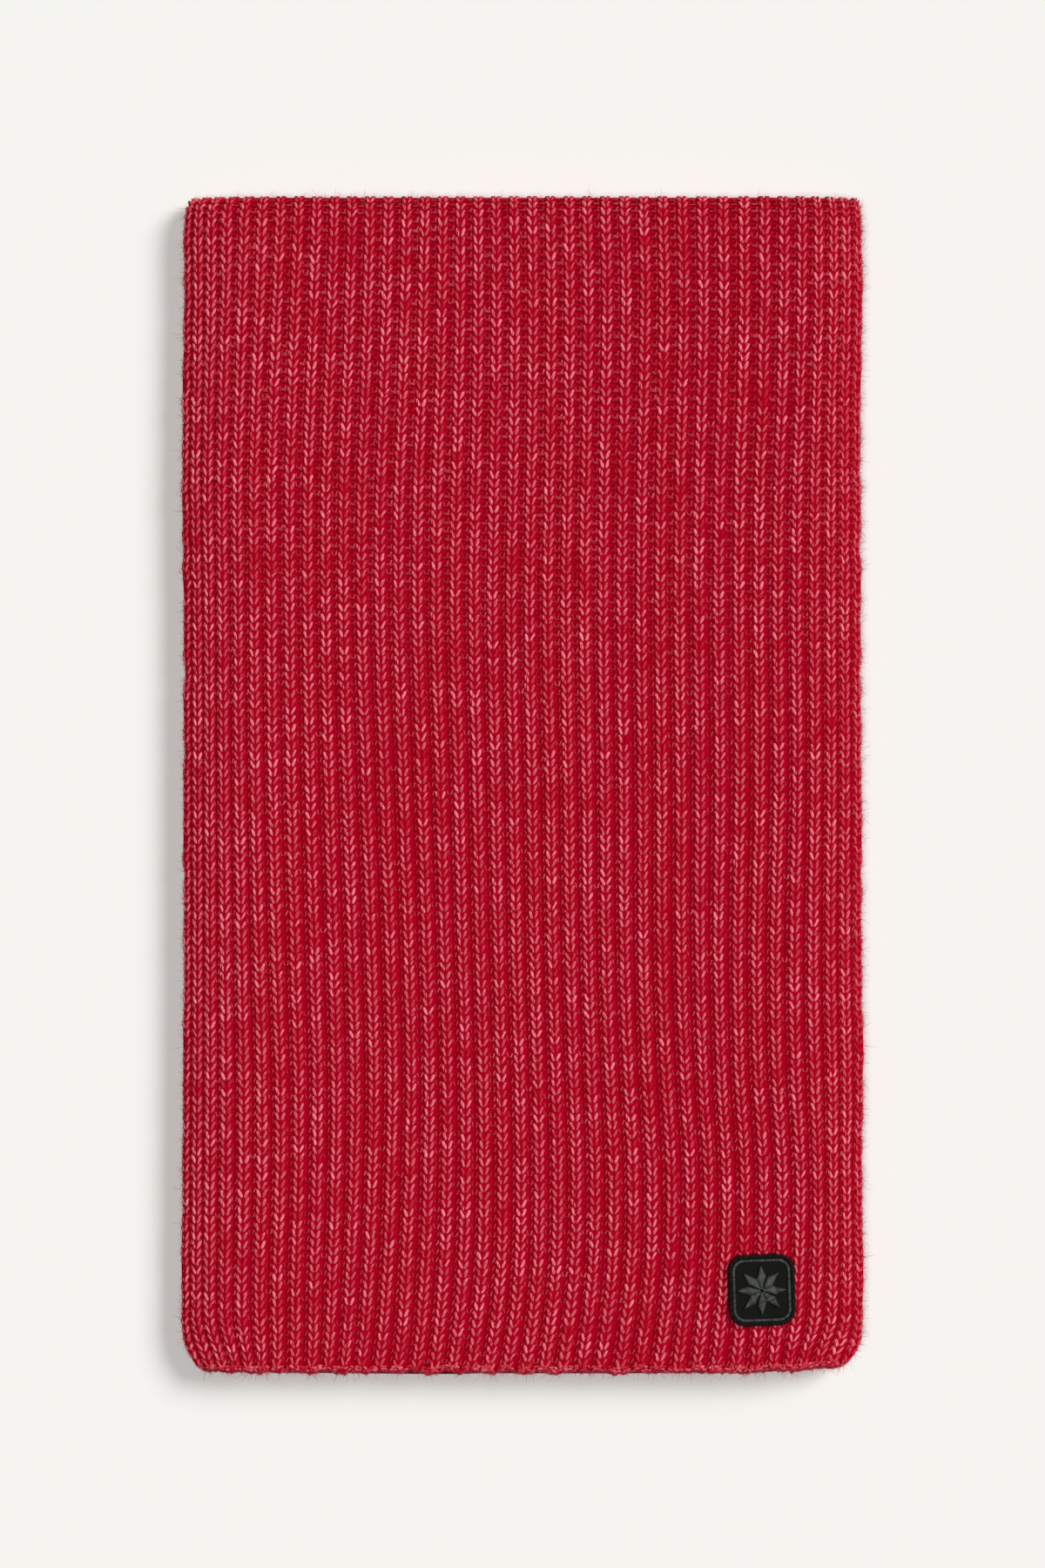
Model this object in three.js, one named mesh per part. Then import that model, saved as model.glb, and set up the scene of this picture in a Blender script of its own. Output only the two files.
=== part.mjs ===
// A chunky rib-knit scarf, folded in half twice and laid flat, so that four layers lie on each other.
// The free end with its sewn-on patch is at the front (-Y) and the fold at the back (+Y).
// Millimetres, +Z up, origin in the middle of the underside, +X to the right across the ribs.

import * as THREE from "three";

// The folded scarf
const WIDTH = 280;
const LENGTH = 483;
const HEIGHT = 18;
const SELVEDGE_HEIGHT = 10.5; // the same four layers at a selvedge, where the knit thins and rolls
const EDGE_ROLL = 32; // how far in from a selvedge the top begins to fall
const LAYER = 1 / 4; // one layer's share of the stack
const SEAM_GAP = 0.3;

// The ribs, which run along the scarf
const RIBS = 39;
const RIB_DEPTH = 0.42; // as a share of the layer's thickness
const SHOULDER_AT = 0.27; // of a rib's pitch, from its crest
const SHOULDER_LIFT = 0.78; // of a rib's depth, above the valley

// The corners and the fold
const END_CORNER_WIDTH = 11.5; // how far a selvedge draws in at the free end's corner
const END_CORNER_LENGTH = 18; // over this much of its length
const END_CORNER_STEPS = [12, END_CORNER_LENGTH]; // sections that round the corner, from the free end
const CORNER_LEAN = 5.4; // how far the ribs near a corner lean inwards at the free end
const LEAN_LENGTH = 24; // over this much of their length
const CORNER_PULL = 40; // ribs this far in from a selvedge begin to lean
const CORNER_BAND = 9; // from here to the selvedge the lean turns into the corner's round
const TUCK = 12; // how far the top layer runs on under the stack behind the fold
const FOLD_SQUARENESS = 0.8; // 0 gives the fold round corners where the stack is low, 1 square ones
const FOLD_Y = LENGTH / 2 - HEIGHT / 2; // where the flat top ends and the fold begins

// Where some of the ribs have their crests across the scarf. The knit is pulled in towards both selvedges,
// and from further in on the left. A smooth curve places the ribs between them.
const RIB_PLACES = [
  { rib: 1, x: -138.8 },
  { rib: 3, x: -128.7 },
  { rib: 6, x: -109.4 },
  { rib: 10, x: -79.3 },
  { rib: 15, x: -41.2 },
  { rib: 20, x: -3.6 },
  { rib: 25, x: 33.8 },
  { rib: 30, x: 72.8 },
  { rib: 34, x: 104.9 },
  { rib: 37, x: 126.9 },
  { rib: 39, x: 138.6 },
];

// The sewn-on patch
const PATCH = { x: 97.8, y: -207, width: 26.8, length: 28.6, corner: 6.5, tilt: 2 };
const PATCH_GROUND = 1; // thickness of its felt
const PATCH_RIM = 1.4; // thickness at its overlocked rim
const RIM_WIDTH = 2.1;
const STAR_SIDE = 5.6; // side of each of the star's eight lozenges
const STAR_HEIGHT = 0.8;
const STAR_BEVEL = 0.25;
const STAR_POINTS = 8;
const STEPS_PER_CORNER = 6;

// How far the ribs and the two selvedges wander to the right at each place along the scarf.
const WANDER = [
  { y: 232.5, leftEdge: 0.2, farLeft: 3.0, left: 1.4, middle: 0.1, right: 0.4, farRight: 2.3, rightEdge: 0 },
  { y: 200, leftEdge: 0.4, farLeft: 1.8, left: 0.7, middle: 0.4, right: 1.1, farRight: 2.1, rightEdge: 0.2 },
  { y: 160, leftEdge: -0.2, farLeft: 0.4, left: -0.4, middle: 0.2, right: 0.4, farRight: 1.4, rightEdge: -0.7 },
  { y: 120, leftEdge: -0.7, farLeft: -0.7, left: -1.8, middle: -0.4, right: -0.4, farRight: 0, rightEdge: -0.5 },
  { y: 80, leftEdge: 0, farLeft: -0.7, left: -2.1, middle: -1.1, right: -0.7, farRight: -0.4, rightEdge: -0.4 },
  { y: 0, leftEdge: 0.2, farLeft: 0, left: 0, middle: 0, right: 0, farRight: 0, rightEdge: -0.2 },
  { y: -80, leftEdge: 0, farLeft: 1.8, left: 2.5, middle: 1.3, right: 0.4, farRight: -1.4, rightEdge: 0 },
  { y: -120, leftEdge: -0.2, farLeft: 2.9, left: 3.2, middle: 2.3, right: 1.8, farRight: -0.7, rightEdge: 0.7 },
  { y: -160, leftEdge: -0.4, farLeft: 2.9, left: 2.5, middle: 3.0, right: 3.9, farRight: 1.4, rightEdge: 0.2 },
  { y: -205, leftEdge: -0.5, farLeft: 1.8, left: 0.7, middle: 1.8, right: 2.7, farRight: 0.4, rightEdge: 0.5 },
  { y: -234.5, leftEdge: -0.3, farLeft: 1.6, left: -1.8, middle: -1.8, right: -0.8, farRight: -1.5, rightEdge: 0 },
  { y: -241.5, leftEdge: 0, farLeft: 1.2, left: -2.9, middle: -3.0, right: -1.8, farRight: -2.2, rightEdge: 0 },
];
const WANDER_ACROSS = {
  leftEdge: -140,
  farLeft: -102,
  left: -56,
  middle: 0,
  right: 57,
  farRight: 105,
  rightEdge: 140,
};

// How the bound-off free end thins: the crest's and the valley's share of the layer's thickness.
const FREE_END = [
  { inward: 0, crest: 0.5, valley: 0.5 },
  { inward: 1.2, crest: 0.92, valley: 0.8 },
  { inward: 3, crest: 0.88, valley: 0.6 },
];

// How far the top layer draws in at the fold's two corners as it turns under.
const FOLD_TURN = [
  { angle: 0, leftInset: 0, rightInset: 0 },
  { angle: 30, leftInset: 0.6, rightInset: 0.2 },
  { angle: 60, leftInset: 2.0, rightInset: 0.8 },
  { angle: 90, leftInset: 4.0, rightInset: 1.6 },
  { angle: 120, leftInset: 3.4, rightInset: 1.8 },
  { angle: 150, leftInset: 2.6, rightInset: 2.0 },
  { angle: 180, leftInset: 2.0, rightInset: 2.0 },
];

// The outline of the three hidden layers at each level: the middle fold joins the lower two at the front.
// share is of the stack's height; side and end are how far the outline lies inside the top layer's;
// scallop is how far the ribs stand out there round the middle fold.
const HIDDEN_LEVELS = [
  { share: 0, shift: 0, side: 3.4, end: 6.0, scallop: 0, atFold: false },
  { share: 0.05, shift: 0, side: 2.3, end: 3.4, scallop: 0.5, atFold: false },
  { share: 0.13, shift: 0, side: 2.0, end: 2.1, scallop: 0.9, atFold: false },
  { share: 0.2, shift: 0, side: 2.4, end: 1.7, scallop: 1.1, atFold: false },
  { share: 0.25, shift: 0, side: 4.2, end: 1.6, scallop: 1.1, atFold: false },
  { share: 0.25, shift: 0.15, side: 4.2, end: 1.6, scallop: 1.1, atFold: false },
  { share: 0.25, shift: 0.15, side: 4.2, end: 1.6, scallop: 1.1, atFold: true },
  { share: 0.31, shift: 0, side: 3.1, end: 1.8, scallop: 1.0, atFold: true },
  { share: 0.38, shift: 0, side: 2.6, end: 2.3, scallop: 0.8, atFold: true },
  { share: 0.45, shift: 0, side: 3.1, end: 3.6, scallop: 0.4, atFold: true },
  { share: 0.5, shift: 0, side: 4.4, end: 5.2, scallop: 0.1, atFold: true },
  { share: 0.56, shift: 0, side: 2.0, end: 1.6, scallop: 0.1, atFold: true },
  { share: 0.63, shift: 0, side: 1.4, end: 1.0, scallop: 0.1, atFold: true },
  { share: 0.7, shift: 0, side: 1.9, end: 1.5, scallop: 0.1, atFold: true },
  { share: 0.75, shift: -0.15, side: 3.6, end: 3.0, scallop: 0, atFold: true },
];
const FLAT_TOP_INSETS = [10, 18, EDGE_ROLL];
const CROWDED_STATION = 1; // a section nearer than this to the hidden front is moved
const HIDDEN_FOLD_CORNER = 2.5; // how far the hidden fold draws in towards its corners

// The rounded nose at each selvedge: how far in from it, and the share of the layer's thickness.
const NOSE = [
  { inward: 1.7, share: 0 },
  { inward: 0.4, share: 0.24 },
  { inward: 0, share: 0.52 },
  { inward: 0.5, share: 0.84 },
  { inward: 1.6, share: 1 },
];
const INNER_INSETS = [5, 10, 18, EDGE_ROLL, 80]; // columns of the plain inner face, from a selvedge

// The patch's felt, edge by edge from its underside: how far in, and how high above its bottom.
const PATCH_EDGE = [
  { inset: 0.4, rise: 0 },
  { inset: 0, rise: 0.4 },
  { inset: 0, rise: 0.9 },
  { inset: 0.5, rise: PATCH_RIM },
  { inset: RIM_WIDTH - 0.5, rise: PATCH_RIM },
  { inset: RIM_WIDTH, rise: PATCH_GROUND },
];

const KNIT = new THREE.MeshStandardMaterial({ color: 0xb3142f, roughness: 0.95, metalness: 0 });
const HIDDEN_KNIT = new THREE.MeshStandardMaterial({ color: 0x9c1029, roughness: 0.95, metalness: 0 });
const FELT = new THREE.MeshStandardMaterial({ color: 0x1d1e1c, roughness: 0.9, metalness: 0 });
const THREAD = new THREE.MeshStandardMaterial({ color: 0x40423f, roughness: 0.55, metalness: 0 });

const HALF_WIDTH = WIDTH / 2;
const FRONT_Y = -LENGTH / 2;
const { clamp, degToRad, lerp, smoothstep } = THREE.MathUtils;

// The value of one named column of a table at a place along another column, which rises or falls.
function readTable(table, along, column, place) {
  const rising = table[table.length - 1][along] > table[0][along];
  const rows = rising ? table : [...table].reverse();
  if (place <= rows[0][along]) return rows[0][column];
  const above = rows.findIndex((row) => row[along] >= place);
  if (above < 0) return rows[rows.length - 1][column];
  const low = rows[above - 1];
  const high = rows[above];
  return lerp(low[column], high[column], (place - low[along]) / (high[along] - low[along]));
}

// Height of the whole stack above the table at a place across the scarf.
function stackHeight(x) {
  const inward = clamp((HALF_WIDTH - Math.abs(x)) / EDGE_ROLL, 0, 1);
  return lerp(SELVEDGE_HEIGHT, HEIGHT, Math.sqrt(1 - (1 - inward) ** 2));
}

// The fold stands out by more than half the stack's height where the stack is low.
function foldReach(x) {
  return (HEIGHT / stackHeight(x)) ** FOLD_SQUARENESS;
}

function wander(x, y) {
  const names = Object.keys(WANDER_ACROSS);
  const right = clamp(names.findIndex((name) => WANDER_ACROSS[name] >= x), 1, names.length - 1);
  const [a, b] = [names[right - 1], names[right]];
  const share = clamp((x - WANDER_ACROSS[a]) / (WANDER_ACROSS[b] - WANDER_ACROSS[a]), 0, 1);
  return lerp(readTable(WANDER, "y", a, y), readTable(WANDER, "y", b, y), share);
}

// Where a place across the straight scarf lies once the ribs wander and the ends draw in.
function acrossAt(x, y, foldInset = 0) {
  const toEnd = 1 - clamp((y - FRONT_Y) / END_CORNER_LENGTH, 0, 1);
  const roundEnd = END_CORNER_WIDTH * (1 - Math.sqrt(1 - toEnd ** 2));
  const lean = CORNER_LEAN * (1 - smoothstep(y, FRONT_Y, FRONT_Y + LEAN_LENGTH));
  const pull = smoothstep(Math.abs(x), HALF_WIDTH - CORNER_PULL, HALF_WIDTH - CORNER_BAND);
  const band = clamp((Math.abs(x) - HALF_WIDTH + CORNER_BAND) / CORNER_BAND, 0, 1);
  return x + wander(x, y) - Math.sign(x) * (pull * (lean + foldInset) + band * (roundEnd - lean));
}

// The slope of the smooth curve at one of the table's ribs: the mean pitch of its two sides, weighted.
function ribSlope(k) {
  const sides = [RIB_PLACES[k - 1], RIB_PLACES[k], RIB_PLACES[k + 1]].filter((row) => row);
  const gaps = sides.slice(1).map((row, i) => row.rib - sides[i].rib);
  const pitches = sides.slice(1).map((row, i) => (row.x - sides[i].x) / gaps[i]);
  if (gaps.length === 1) return pitches[0];
  return (pitches[0] * gaps[1] + pitches[1] * gaps[0]) / (gaps[0] + gaps[1]);
}

// Places of the rib crests across the scarf.
function ribCrests() {
  return Array.from({ length: RIBS }, (_, i) => {
    const rib = i + 1;
    const k = clamp(RIB_PLACES.findIndex((row) => row.rib >= rib) - 1, 0, RIB_PLACES.length - 2);
    const [low, high] = [RIB_PLACES[k], RIB_PLACES[k + 1]];
    const gap = high.rib - low.rib;
    const t = (rib - low.rib) / gap;
    const fromLow = (1 + 2 * t) * (1 - t) ** 2 * low.x + t * (1 - t) ** 2 * gap * ribSlope(k);
    return fromLow + t * t * (3 - 2 * t) * high.x - t * t * (1 - t) * gap * ribSlope(k + 1);
  });
}

// The outer face across the scarf, as places with a lift from valley (0) to crest (1).
// The two selvedges are rounded noses, which have a share of the layer's thickness instead.
function outerColumns() {
  const crests = ribCrests();
  const columns = NOSE.map(({ inward, share }) => ({ x: inward - HALF_WIDTH, share }));
  for (let i = 0; i < RIBS - 1; i++) {
    const pitch = crests[i + 1] - crests[i];
    if (i > 0) columns.push({ x: crests[i], lift: 1 }, { x: crests[i] + SHOULDER_AT * pitch, lift: SHOULDER_LIFT });
    columns.push({ x: crests[i] + pitch / 2, lift: 0 });
    if (i < RIBS - 2) columns.push({ x: crests[i + 1] - SHOULDER_AT * pitch, lift: SHOULDER_LIFT });
  }
  for (const { inward, share } of [...NOSE].reverse()) columns.push({ x: HALF_WIDTH - inward, share });
  return columns;
}

// The plain inner face across the scarf, from right to left, between the noses' inner ends.
function innerColumns() {
  const right = INNER_INSETS.map((inset) => HALF_WIDTH - inset);
  return [...right, 0, ...[...right].reverse().map((x) => -x)];
}

// A closed solid through rings of equal length. The caps are flat in the two named directions.
function solidThrough(rings, capAxes) {
  const count = rings[0].length;
  const index = [];
  for (let r = 0; r + 1 < rings.length; r++) {
    for (let i = 0; i < count; i++) {
      const near = r * count + i;
      const next = r * count + ((i + 1) % count);
      index.push(near, next, next + count, near, next + count, near + count);
    }
  }
  for (const [r, flip] of [
    [0, true],
    [rings.length - 1, false],
  ]) {
    const flat = rings[r].map((p) => new THREE.Vector2(p[capAxes[0]], p[capAxes[1]]));
    const turned = THREE.ShapeUtils.isClockWise(flat);
    if (turned) flat.reverse();
    for (const [a, b, c] of THREE.ShapeUtils.triangulateShape(flat, [])) {
      const corner = [a, b, c].map((k) => r * count + (turned ? count - 1 - k : k));
      if (turned !== flip) corner.reverse();
      index.push(...corner);
    }
  }
  const geometry = new THREE.BufferGeometry();
  const position = rings.flat().flatMap((p) => [p.x, p.y, p.z]);
  geometry.setAttribute("position", new THREE.Float32BufferAttribute(position, 3));
  geometry.setIndex(index);
  return facingOut(geometry);
}

// The same geometry with its faces turned outwards, found by the sign of its volume.
function facingOut(geometry) {
  const position = geometry.getAttribute("position");
  const index = geometry.getIndex().array;
  const corners = [0, 1, 2].map(() => new THREE.Vector3());
  let volume = 0;
  for (let i = 0; i < index.length; i += 3) {
    corners.forEach((corner, k) => corner.fromBufferAttribute(position, index[i + k]));
    volume += corners[0].dot(corners[1].clone().cross(corners[2]));
  }
  if (volume < 0) for (let i = 0; i < index.length; i += 3) [index[i], index[i + 1]] = [index[i + 1], index[i]];
  geometry.computeVertexNormals();
  return geometry;
}

function namedMesh(name, geometry, material) {
  const mesh = new THREE.Mesh(geometry, material);
  mesh.name = name;
  return mesh;
}

// Height of the top layer's two faces: share is 0 on its inner face and 1 on its crests.
function layerHeight(x, share) {
  const height = stackHeight(x);
  const inner = height * (1 - LAYER) + SEAM_GAP / 2;
  return lerp(inner, height, share);
}

// One section of the top layer: its outer columns with their ribs, then its plain inner face.
// place puts a point of the flat section where it lies; crest and valley are shares of the thickness.
function layerSection(place, crest, valley) {
  const outer = outerColumns().map(({ x, lift, share }) => {
    const thickness = share === undefined ? lerp(valley, crest, lift) : Math.min(share, crest);
    return place(x, layerHeight(x, thickness));
  });
  const inner = innerColumns().map((x) => place(x, layerHeight(x, 0)));
  return [...outer, ...inner];
}

function flatPlace(y) {
  return (x, z) => new THREE.Vector3(acrossAt(x, y), y, z);
}

function foldPlace({ angle, leftInset, rightInset }) {
  const turn = degToRad(angle);
  return (x, z) => {
    const centre = stackHeight(x) / 2;
    const y = FOLD_Y + (z - centre) * Math.sin(turn) * foldReach(x);
    const inset = x < 0 ? leftInset : rightInset;
    return new THREE.Vector3(acrossAt(x, FOLD_Y, inset), y, centre + (z - centre) * Math.cos(turn));
  };
}

function tuckPlace() {
  const { leftInset, rightInset } = FOLD_TURN[FOLD_TURN.length - 1];
  return (x, z) => {
    const inset = x < 0 ? leftInset : rightInset;
    return new THREE.Vector3(acrossAt(x, FOLD_Y, inset), FOLD_Y - TUCK, stackHeight(x) - z);
  };
}

// The places of the sections along the flat stretch, from the free end to the fold.
function flatStations(from, to) {
  const corner = END_CORNER_STEPS.map((step) => FRONT_Y + step);
  const stations = [...WANDER.map((row) => row.y), ...corner];
  return stations.filter((y) => y > from && y < to).sort((a, b) => a - b);
}

// The stretch that shows: from the bound-off free end, back along the top, round the fold and under.
function frontFall() {
  const valley = 1 - RIB_DEPTH;
  const rings = FREE_END.map((row) => layerSection(flatPlace(FRONT_Y + row.inward), row.crest, row.valley));
  for (const y of flatStations(FRONT_Y, FOLD_Y)) rings.push(layerSection(flatPlace(y), 1, valley));
  for (const row of FOLD_TURN) {
    const pressed = smoothstep(row.angle, 90, 180);
    rings.push(layerSection(foldPlace(row), 1, lerp(valley, 1, pressed)));
  }
  rings.push(layerSection(tuckPlace(), 1, 1));
  return namedMesh("front_fall", solidThrough(rings, ["x", "z"]), KNIT);
}

// One outline of the hidden layers, seen from above, at a level and drawn in by extra millimetres.
function hiddenOutline({ share, shift, side, end, scallop, atFold }, extra = 0) {
  const half = HALF_WIDTH - side - extra;
  const front = FRONT_Y + end + extra;
  const lowest = extra > 0 ? SEAM_GAP : 0;
  const points = [];
  const add = (x, y) => {
    const z = Math.max(0, share * stackHeight(x) + shift - lowest);
    points.push(new THREE.Vector3(acrossAt(x, y), y, z));
  };

  const crests = ribCrests().map((x) => (x * half) / HALF_WIDTH);
  crests.forEach((x, i) => {
    add(x, front - scallop / 2);
    if (i < RIBS - 1) add((x + crests[i + 1]) / 2, front + scallop / 2);
  });

  // Behind the fold line the upper two hidden layers turn in a half circle inside the top layer's fold.
  const back = (x) => {
    if (!atFold) return FOLD_Y - TUCK - SEAM_GAP - extra;
    const radius = stackHeight(x) * LAYER - SEAM_GAP;
    const rise = (share - 0.5) * stackHeight(x);
    const drawnIn = HIDDEN_FOLD_CORNER * smoothstep(Math.abs(x), HALF_WIDTH - EDGE_ROLL, HALF_WIDTH);
    return FOLD_Y - extra - drawnIn + foldReach(x) * Math.sqrt(Math.max(0, radius ** 2 - rise ** 2));
  };
  const endStations = FREE_END.slice(1).map((row) => FRONT_Y + row.inward);
  const all = [...endStations, ...flatStations(FRONT_Y, FOLD_Y - EDGE_ROLL)];
  const stations = all.filter((y) => y > front + CROWDED_STATION);
  while (stations.length < all.length) stations.unshift(lerp(front, stations[0], 0.5));
  for (const y of stations) add(half, y);
  const across = innerColumns().map((x) => (x * half) / (HALF_WIDTH - INNER_INSETS[0]));
  for (const x of across) add(x, back(x));
  for (const y of [...stations].reverse()) add(-half, y);
  return points;
}

// The hidden stretches share one rounded solid, layered at its edges.
function foldedLayers() {
  const rings = HIDDEN_LEVELS.map((level) => hiddenOutline(level));
  const top = HIDDEN_LEVELS[HIDDEN_LEVELS.length - 1];
  for (const inset of FLAT_TOP_INSETS) rings.push(hiddenOutline(top, inset - top.side));
  return namedMesh("folded_layers", solidThrough(rings, ["x", "y"]), HIDDEN_KNIT);
}

// The patch's outline, a rounded square drawn in by some millimetres, at a height.
function patchOutline(inset, z) {
  const { x, y, width, length, corner, tilt } = PATCH;
  const centres = [
    { sx: 1, sy: 1, from: 0 },
    { sx: -1, sy: 1, from: 90 },
    { sx: -1, sy: -1, from: 180 },
    { sx: 1, sy: -1, from: 270 },
  ];
  const points = [];
  for (const { sx, sy, from } of centres) {
    for (let k = 0; k <= STEPS_PER_CORNER; k++) {
      const angle = degToRad(from + (90 * k) / STEPS_PER_CORNER);
      const px = sx * (width / 2 - corner) + Math.cos(angle) * (corner - inset);
      const py = sy * (length / 2 - corner) + Math.sin(angle) * (corner - inset);
      const turned = new THREE.Vector2(px, py).rotateAround(new THREE.Vector2(), degToRad(tilt));
      points.push(new THREE.Vector3(x + turned.x, y + turned.y, z));
    }
  }
  return points;
}

const PATCH_BOTTOM = HEIGHT + SEAM_GAP; // it lies on the crests of the ribs, which are level there

function patchBase() {
  const rings = PATCH_EDGE.map(({ inset, rise }) => patchOutline(inset, PATCH_BOTTOM + rise));
  return namedMesh("patch_base", solidThrough(rings, ["x", "y"]), FELT);
}

// An eight-pointed star of embroidered lozenges: its outline runs tip, notch, tip, notch.
function patchStar() {
  const step = 180 / STAR_POINTS;
  const tip = 2 * STAR_SIDE * Math.cos(degToRad(step));
  const bottom = PATCH_BOTTOM + PATCH_GROUND + SEAM_GAP;
  const outline = (inset, z) => {
    const points = [];
    for (let k = 0; k < 2 * STAR_POINTS; k++) {
      const radius = (k % 2 ? STAR_SIDE : tip) - inset;
      const angle = degToRad(step * (k + 1) + PATCH.tilt);
      const [x, y] = [radius * Math.cos(angle), radius * Math.sin(angle)];
      points.push(new THREE.Vector3(PATCH.x + x, PATCH.y + y, z));
    }
    return points;
  };
  const rings = [
    outline(0, bottom),
    outline(0, bottom + STAR_HEIGHT - STAR_BEVEL),
    outline(STAR_BEVEL, bottom + STAR_HEIGHT),
  ];
  return namedMesh("patch_star", solidThrough(rings, ["x", "y"]), THREAD);
}

const scarf = new THREE.Group();
scarf.add(frontFall(), foldedLayers(), patchBase(), patchStar());

export default scarf;
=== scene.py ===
# %% [markdown]
# # A folded rib-knit scarf, stitch by stitch
#
# The real scarf is one long strip of chunky rib knit, folded in half twice and laid flat. Its ribs are
# columns of V stitches in a marled yarn: each leg of a V is red at its rims and pink along its back.
# Between the ribs lie deep red valleys, and a small black patch is sewn on near one corner.
#
# A knit could be painted on a smooth cloth with bump, but from the side such a knit looks flat. Here each
# leg of each V is a small modelled form, laid on the scarf in its thousands by one function that knows how
# the scarf curves, rolls at its edges and turns round its fold.

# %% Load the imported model
import math

import bpy
import numpy as np
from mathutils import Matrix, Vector


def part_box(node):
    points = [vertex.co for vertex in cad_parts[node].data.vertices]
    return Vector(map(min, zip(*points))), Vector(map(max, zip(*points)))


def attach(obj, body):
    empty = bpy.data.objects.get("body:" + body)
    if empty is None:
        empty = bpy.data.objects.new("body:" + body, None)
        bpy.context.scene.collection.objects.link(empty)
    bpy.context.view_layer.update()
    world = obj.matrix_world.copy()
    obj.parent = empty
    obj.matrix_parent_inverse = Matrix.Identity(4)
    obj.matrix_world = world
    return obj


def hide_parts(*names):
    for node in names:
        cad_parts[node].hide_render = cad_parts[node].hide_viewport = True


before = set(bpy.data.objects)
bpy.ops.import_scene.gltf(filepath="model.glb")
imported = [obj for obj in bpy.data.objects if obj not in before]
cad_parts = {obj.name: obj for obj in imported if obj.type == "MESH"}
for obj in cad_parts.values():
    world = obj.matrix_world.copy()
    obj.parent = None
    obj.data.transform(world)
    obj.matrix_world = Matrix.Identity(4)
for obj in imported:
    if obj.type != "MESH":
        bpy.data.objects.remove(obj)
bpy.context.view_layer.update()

MM = 0.001
rng = np.random.default_rng(7)
print("nodes:", sorted(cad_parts))

# %% [markdown]
# ## The sizes of the folded scarf
#
# The scarf lies with its free end and patch at the front (-Y) and its fold at the back (+Y). Four layers
# make it 18 mm high. The knit thins and rolls at the two long edges, the selvedges, so the stack is lower
# there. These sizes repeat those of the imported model, so that every stitch lies where its cloth is.

# %% Sizes of the scarf
FOLDED_LOW, FOLDED_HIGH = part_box("front_fall")
WIDTH = 280 * MM
LENGTH = FOLDED_HIGH[1] - FOLDED_LOW[1]
HEIGHT = FOLDED_HIGH[2] - FOLDED_LOW[2]
HALF_WIDTH = WIDTH / 2
SELVEDGE_HEIGHT = 10.5 * MM
EDGE_ROLL = 32 * MM
LAYER = 1 / 4  # of the stack's height
SEAM_GAP = 0.3 * MM
FRONT_Y = -LENGTH / 2
FOLD_Y = LENGTH / 2 - HEIGHT / 2
FLAT_LENGTH = FOLD_Y - FRONT_Y
END_CORNER_WIDTH = 11.5 * MM
END_CORNER_LENGTH = 18 * MM
CORNER_LEAN = 5.4 * MM
LEAN_LENGTH = 24 * MM
CORNER_PULL = 40 * MM
CORNER_BAND = 9 * MM
FOLD_SQUARENESS = 0.8
TUCK = 12 * MM
RIBS = 39
print(f"folded {WIDTH:.3f} by {LENGTH:.3f} m, {HEIGHT:.3f} m high, flat for {FLAT_LENGTH:.3f} m")

# %% [markdown]
# ## How the ribs wander
#
# No knit lies dead straight. The table gives how far the ribs and the two selvedges wander to the right, in
# millimetres, at places along the scarf (rows) and across it (columns). A smooth curve joins the rows.

# %% The wander of the ribs
WANDER_ACROSS = np.array([-140, -102, -56, 0, 57, 105, 140]) * MM
WANDER_ROWS = {
    -241.5: (0, 1.2, -2.9, -3.0, -1.8, -2.2, 0),
    -234.5: (-0.3, 1.6, -1.8, -1.8, -0.8, -1.5, 0),
    -205: (-0.5, 1.8, 0.7, 1.8, 2.7, 0.4, 0.5),
    -160: (-0.4, 2.9, 2.5, 3.0, 3.9, 1.4, 0.2),
    -120: (-0.2, 2.9, 3.2, 2.3, 1.8, -0.7, 0.7),
    -80: (0, 1.8, 2.5, 1.3, 0.4, -1.4, 0),
    0: (0.2, 0, 0, 0, 0, 0, -0.2),
    80: (0, -0.7, -2.1, -1.1, -0.7, -0.4, -0.4),
    120: (-0.7, -0.7, -1.8, -0.4, -0.4, 0, -0.5),
    160: (-0.2, 0.4, -0.4, 0.2, 0.4, 1.4, -0.7),
    200: (0.4, 1.8, 0.7, 0.4, 1.1, 2.1, 0.2),
    232.5: (0.2, 3.0, 1.4, 0.1, 0.4, 2.3, 0),
}
WANDER_ALONG = np.array(list(WANDER_ROWS)) * MM
WANDER_SHIFT = np.array(list(WANDER_ROWS.values())) * MM


def smoothstep(value, low, high):
    share = np.clip((value - low) / (high - low), 0, 1)
    return share * share * (3 - 2 * share)


def smooth_curve(at, places, values):
    """The height at each place of a smooth curve through the given values."""
    slopes = np.gradient(values, places)
    k = np.clip(np.searchsorted(places, at) - 1, 0, len(places) - 2)
    gap = places[k + 1] - places[k]
    t = np.clip((at - places[k]) / gap, 0, 1)
    start = (1 + 2 * t) * (1 - t) ** 2 * values[k] + t * (1 - t) ** 2 * gap * slopes[k]
    return start + t * t * (3 - 2 * t) * values[k + 1] - t * t * (1 - t) * gap * slopes[k + 1]


def wander(x, y):
    """How far the knit has wandered to the right at a place on the scarf."""
    shifts = np.stack([smooth_curve(y, WANDER_ALONG, column) for column in WANDER_SHIFT.T])
    k = np.clip(np.searchsorted(WANDER_ACROSS, x) - 1, 0, len(WANDER_ACROSS) - 2)
    share = smoothstep(x, WANDER_ACROSS[k], WANDER_ACROSS[k + 1])
    low = np.take_along_axis(shifts, k[None], 0)[0]
    high = np.take_along_axis(shifts, k[None] + 1, 0)[0]
    return low + (high - low) * share


def stack_height(x):
    inward = np.clip((HALF_WIDTH - np.abs(x)) / EDGE_ROLL, 0, 1)
    return SELVEDGE_HEIGHT + (HEIGHT - SELVEDGE_HEIGHT) * np.sqrt(1 - (1 - inward) ** 2)


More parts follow.
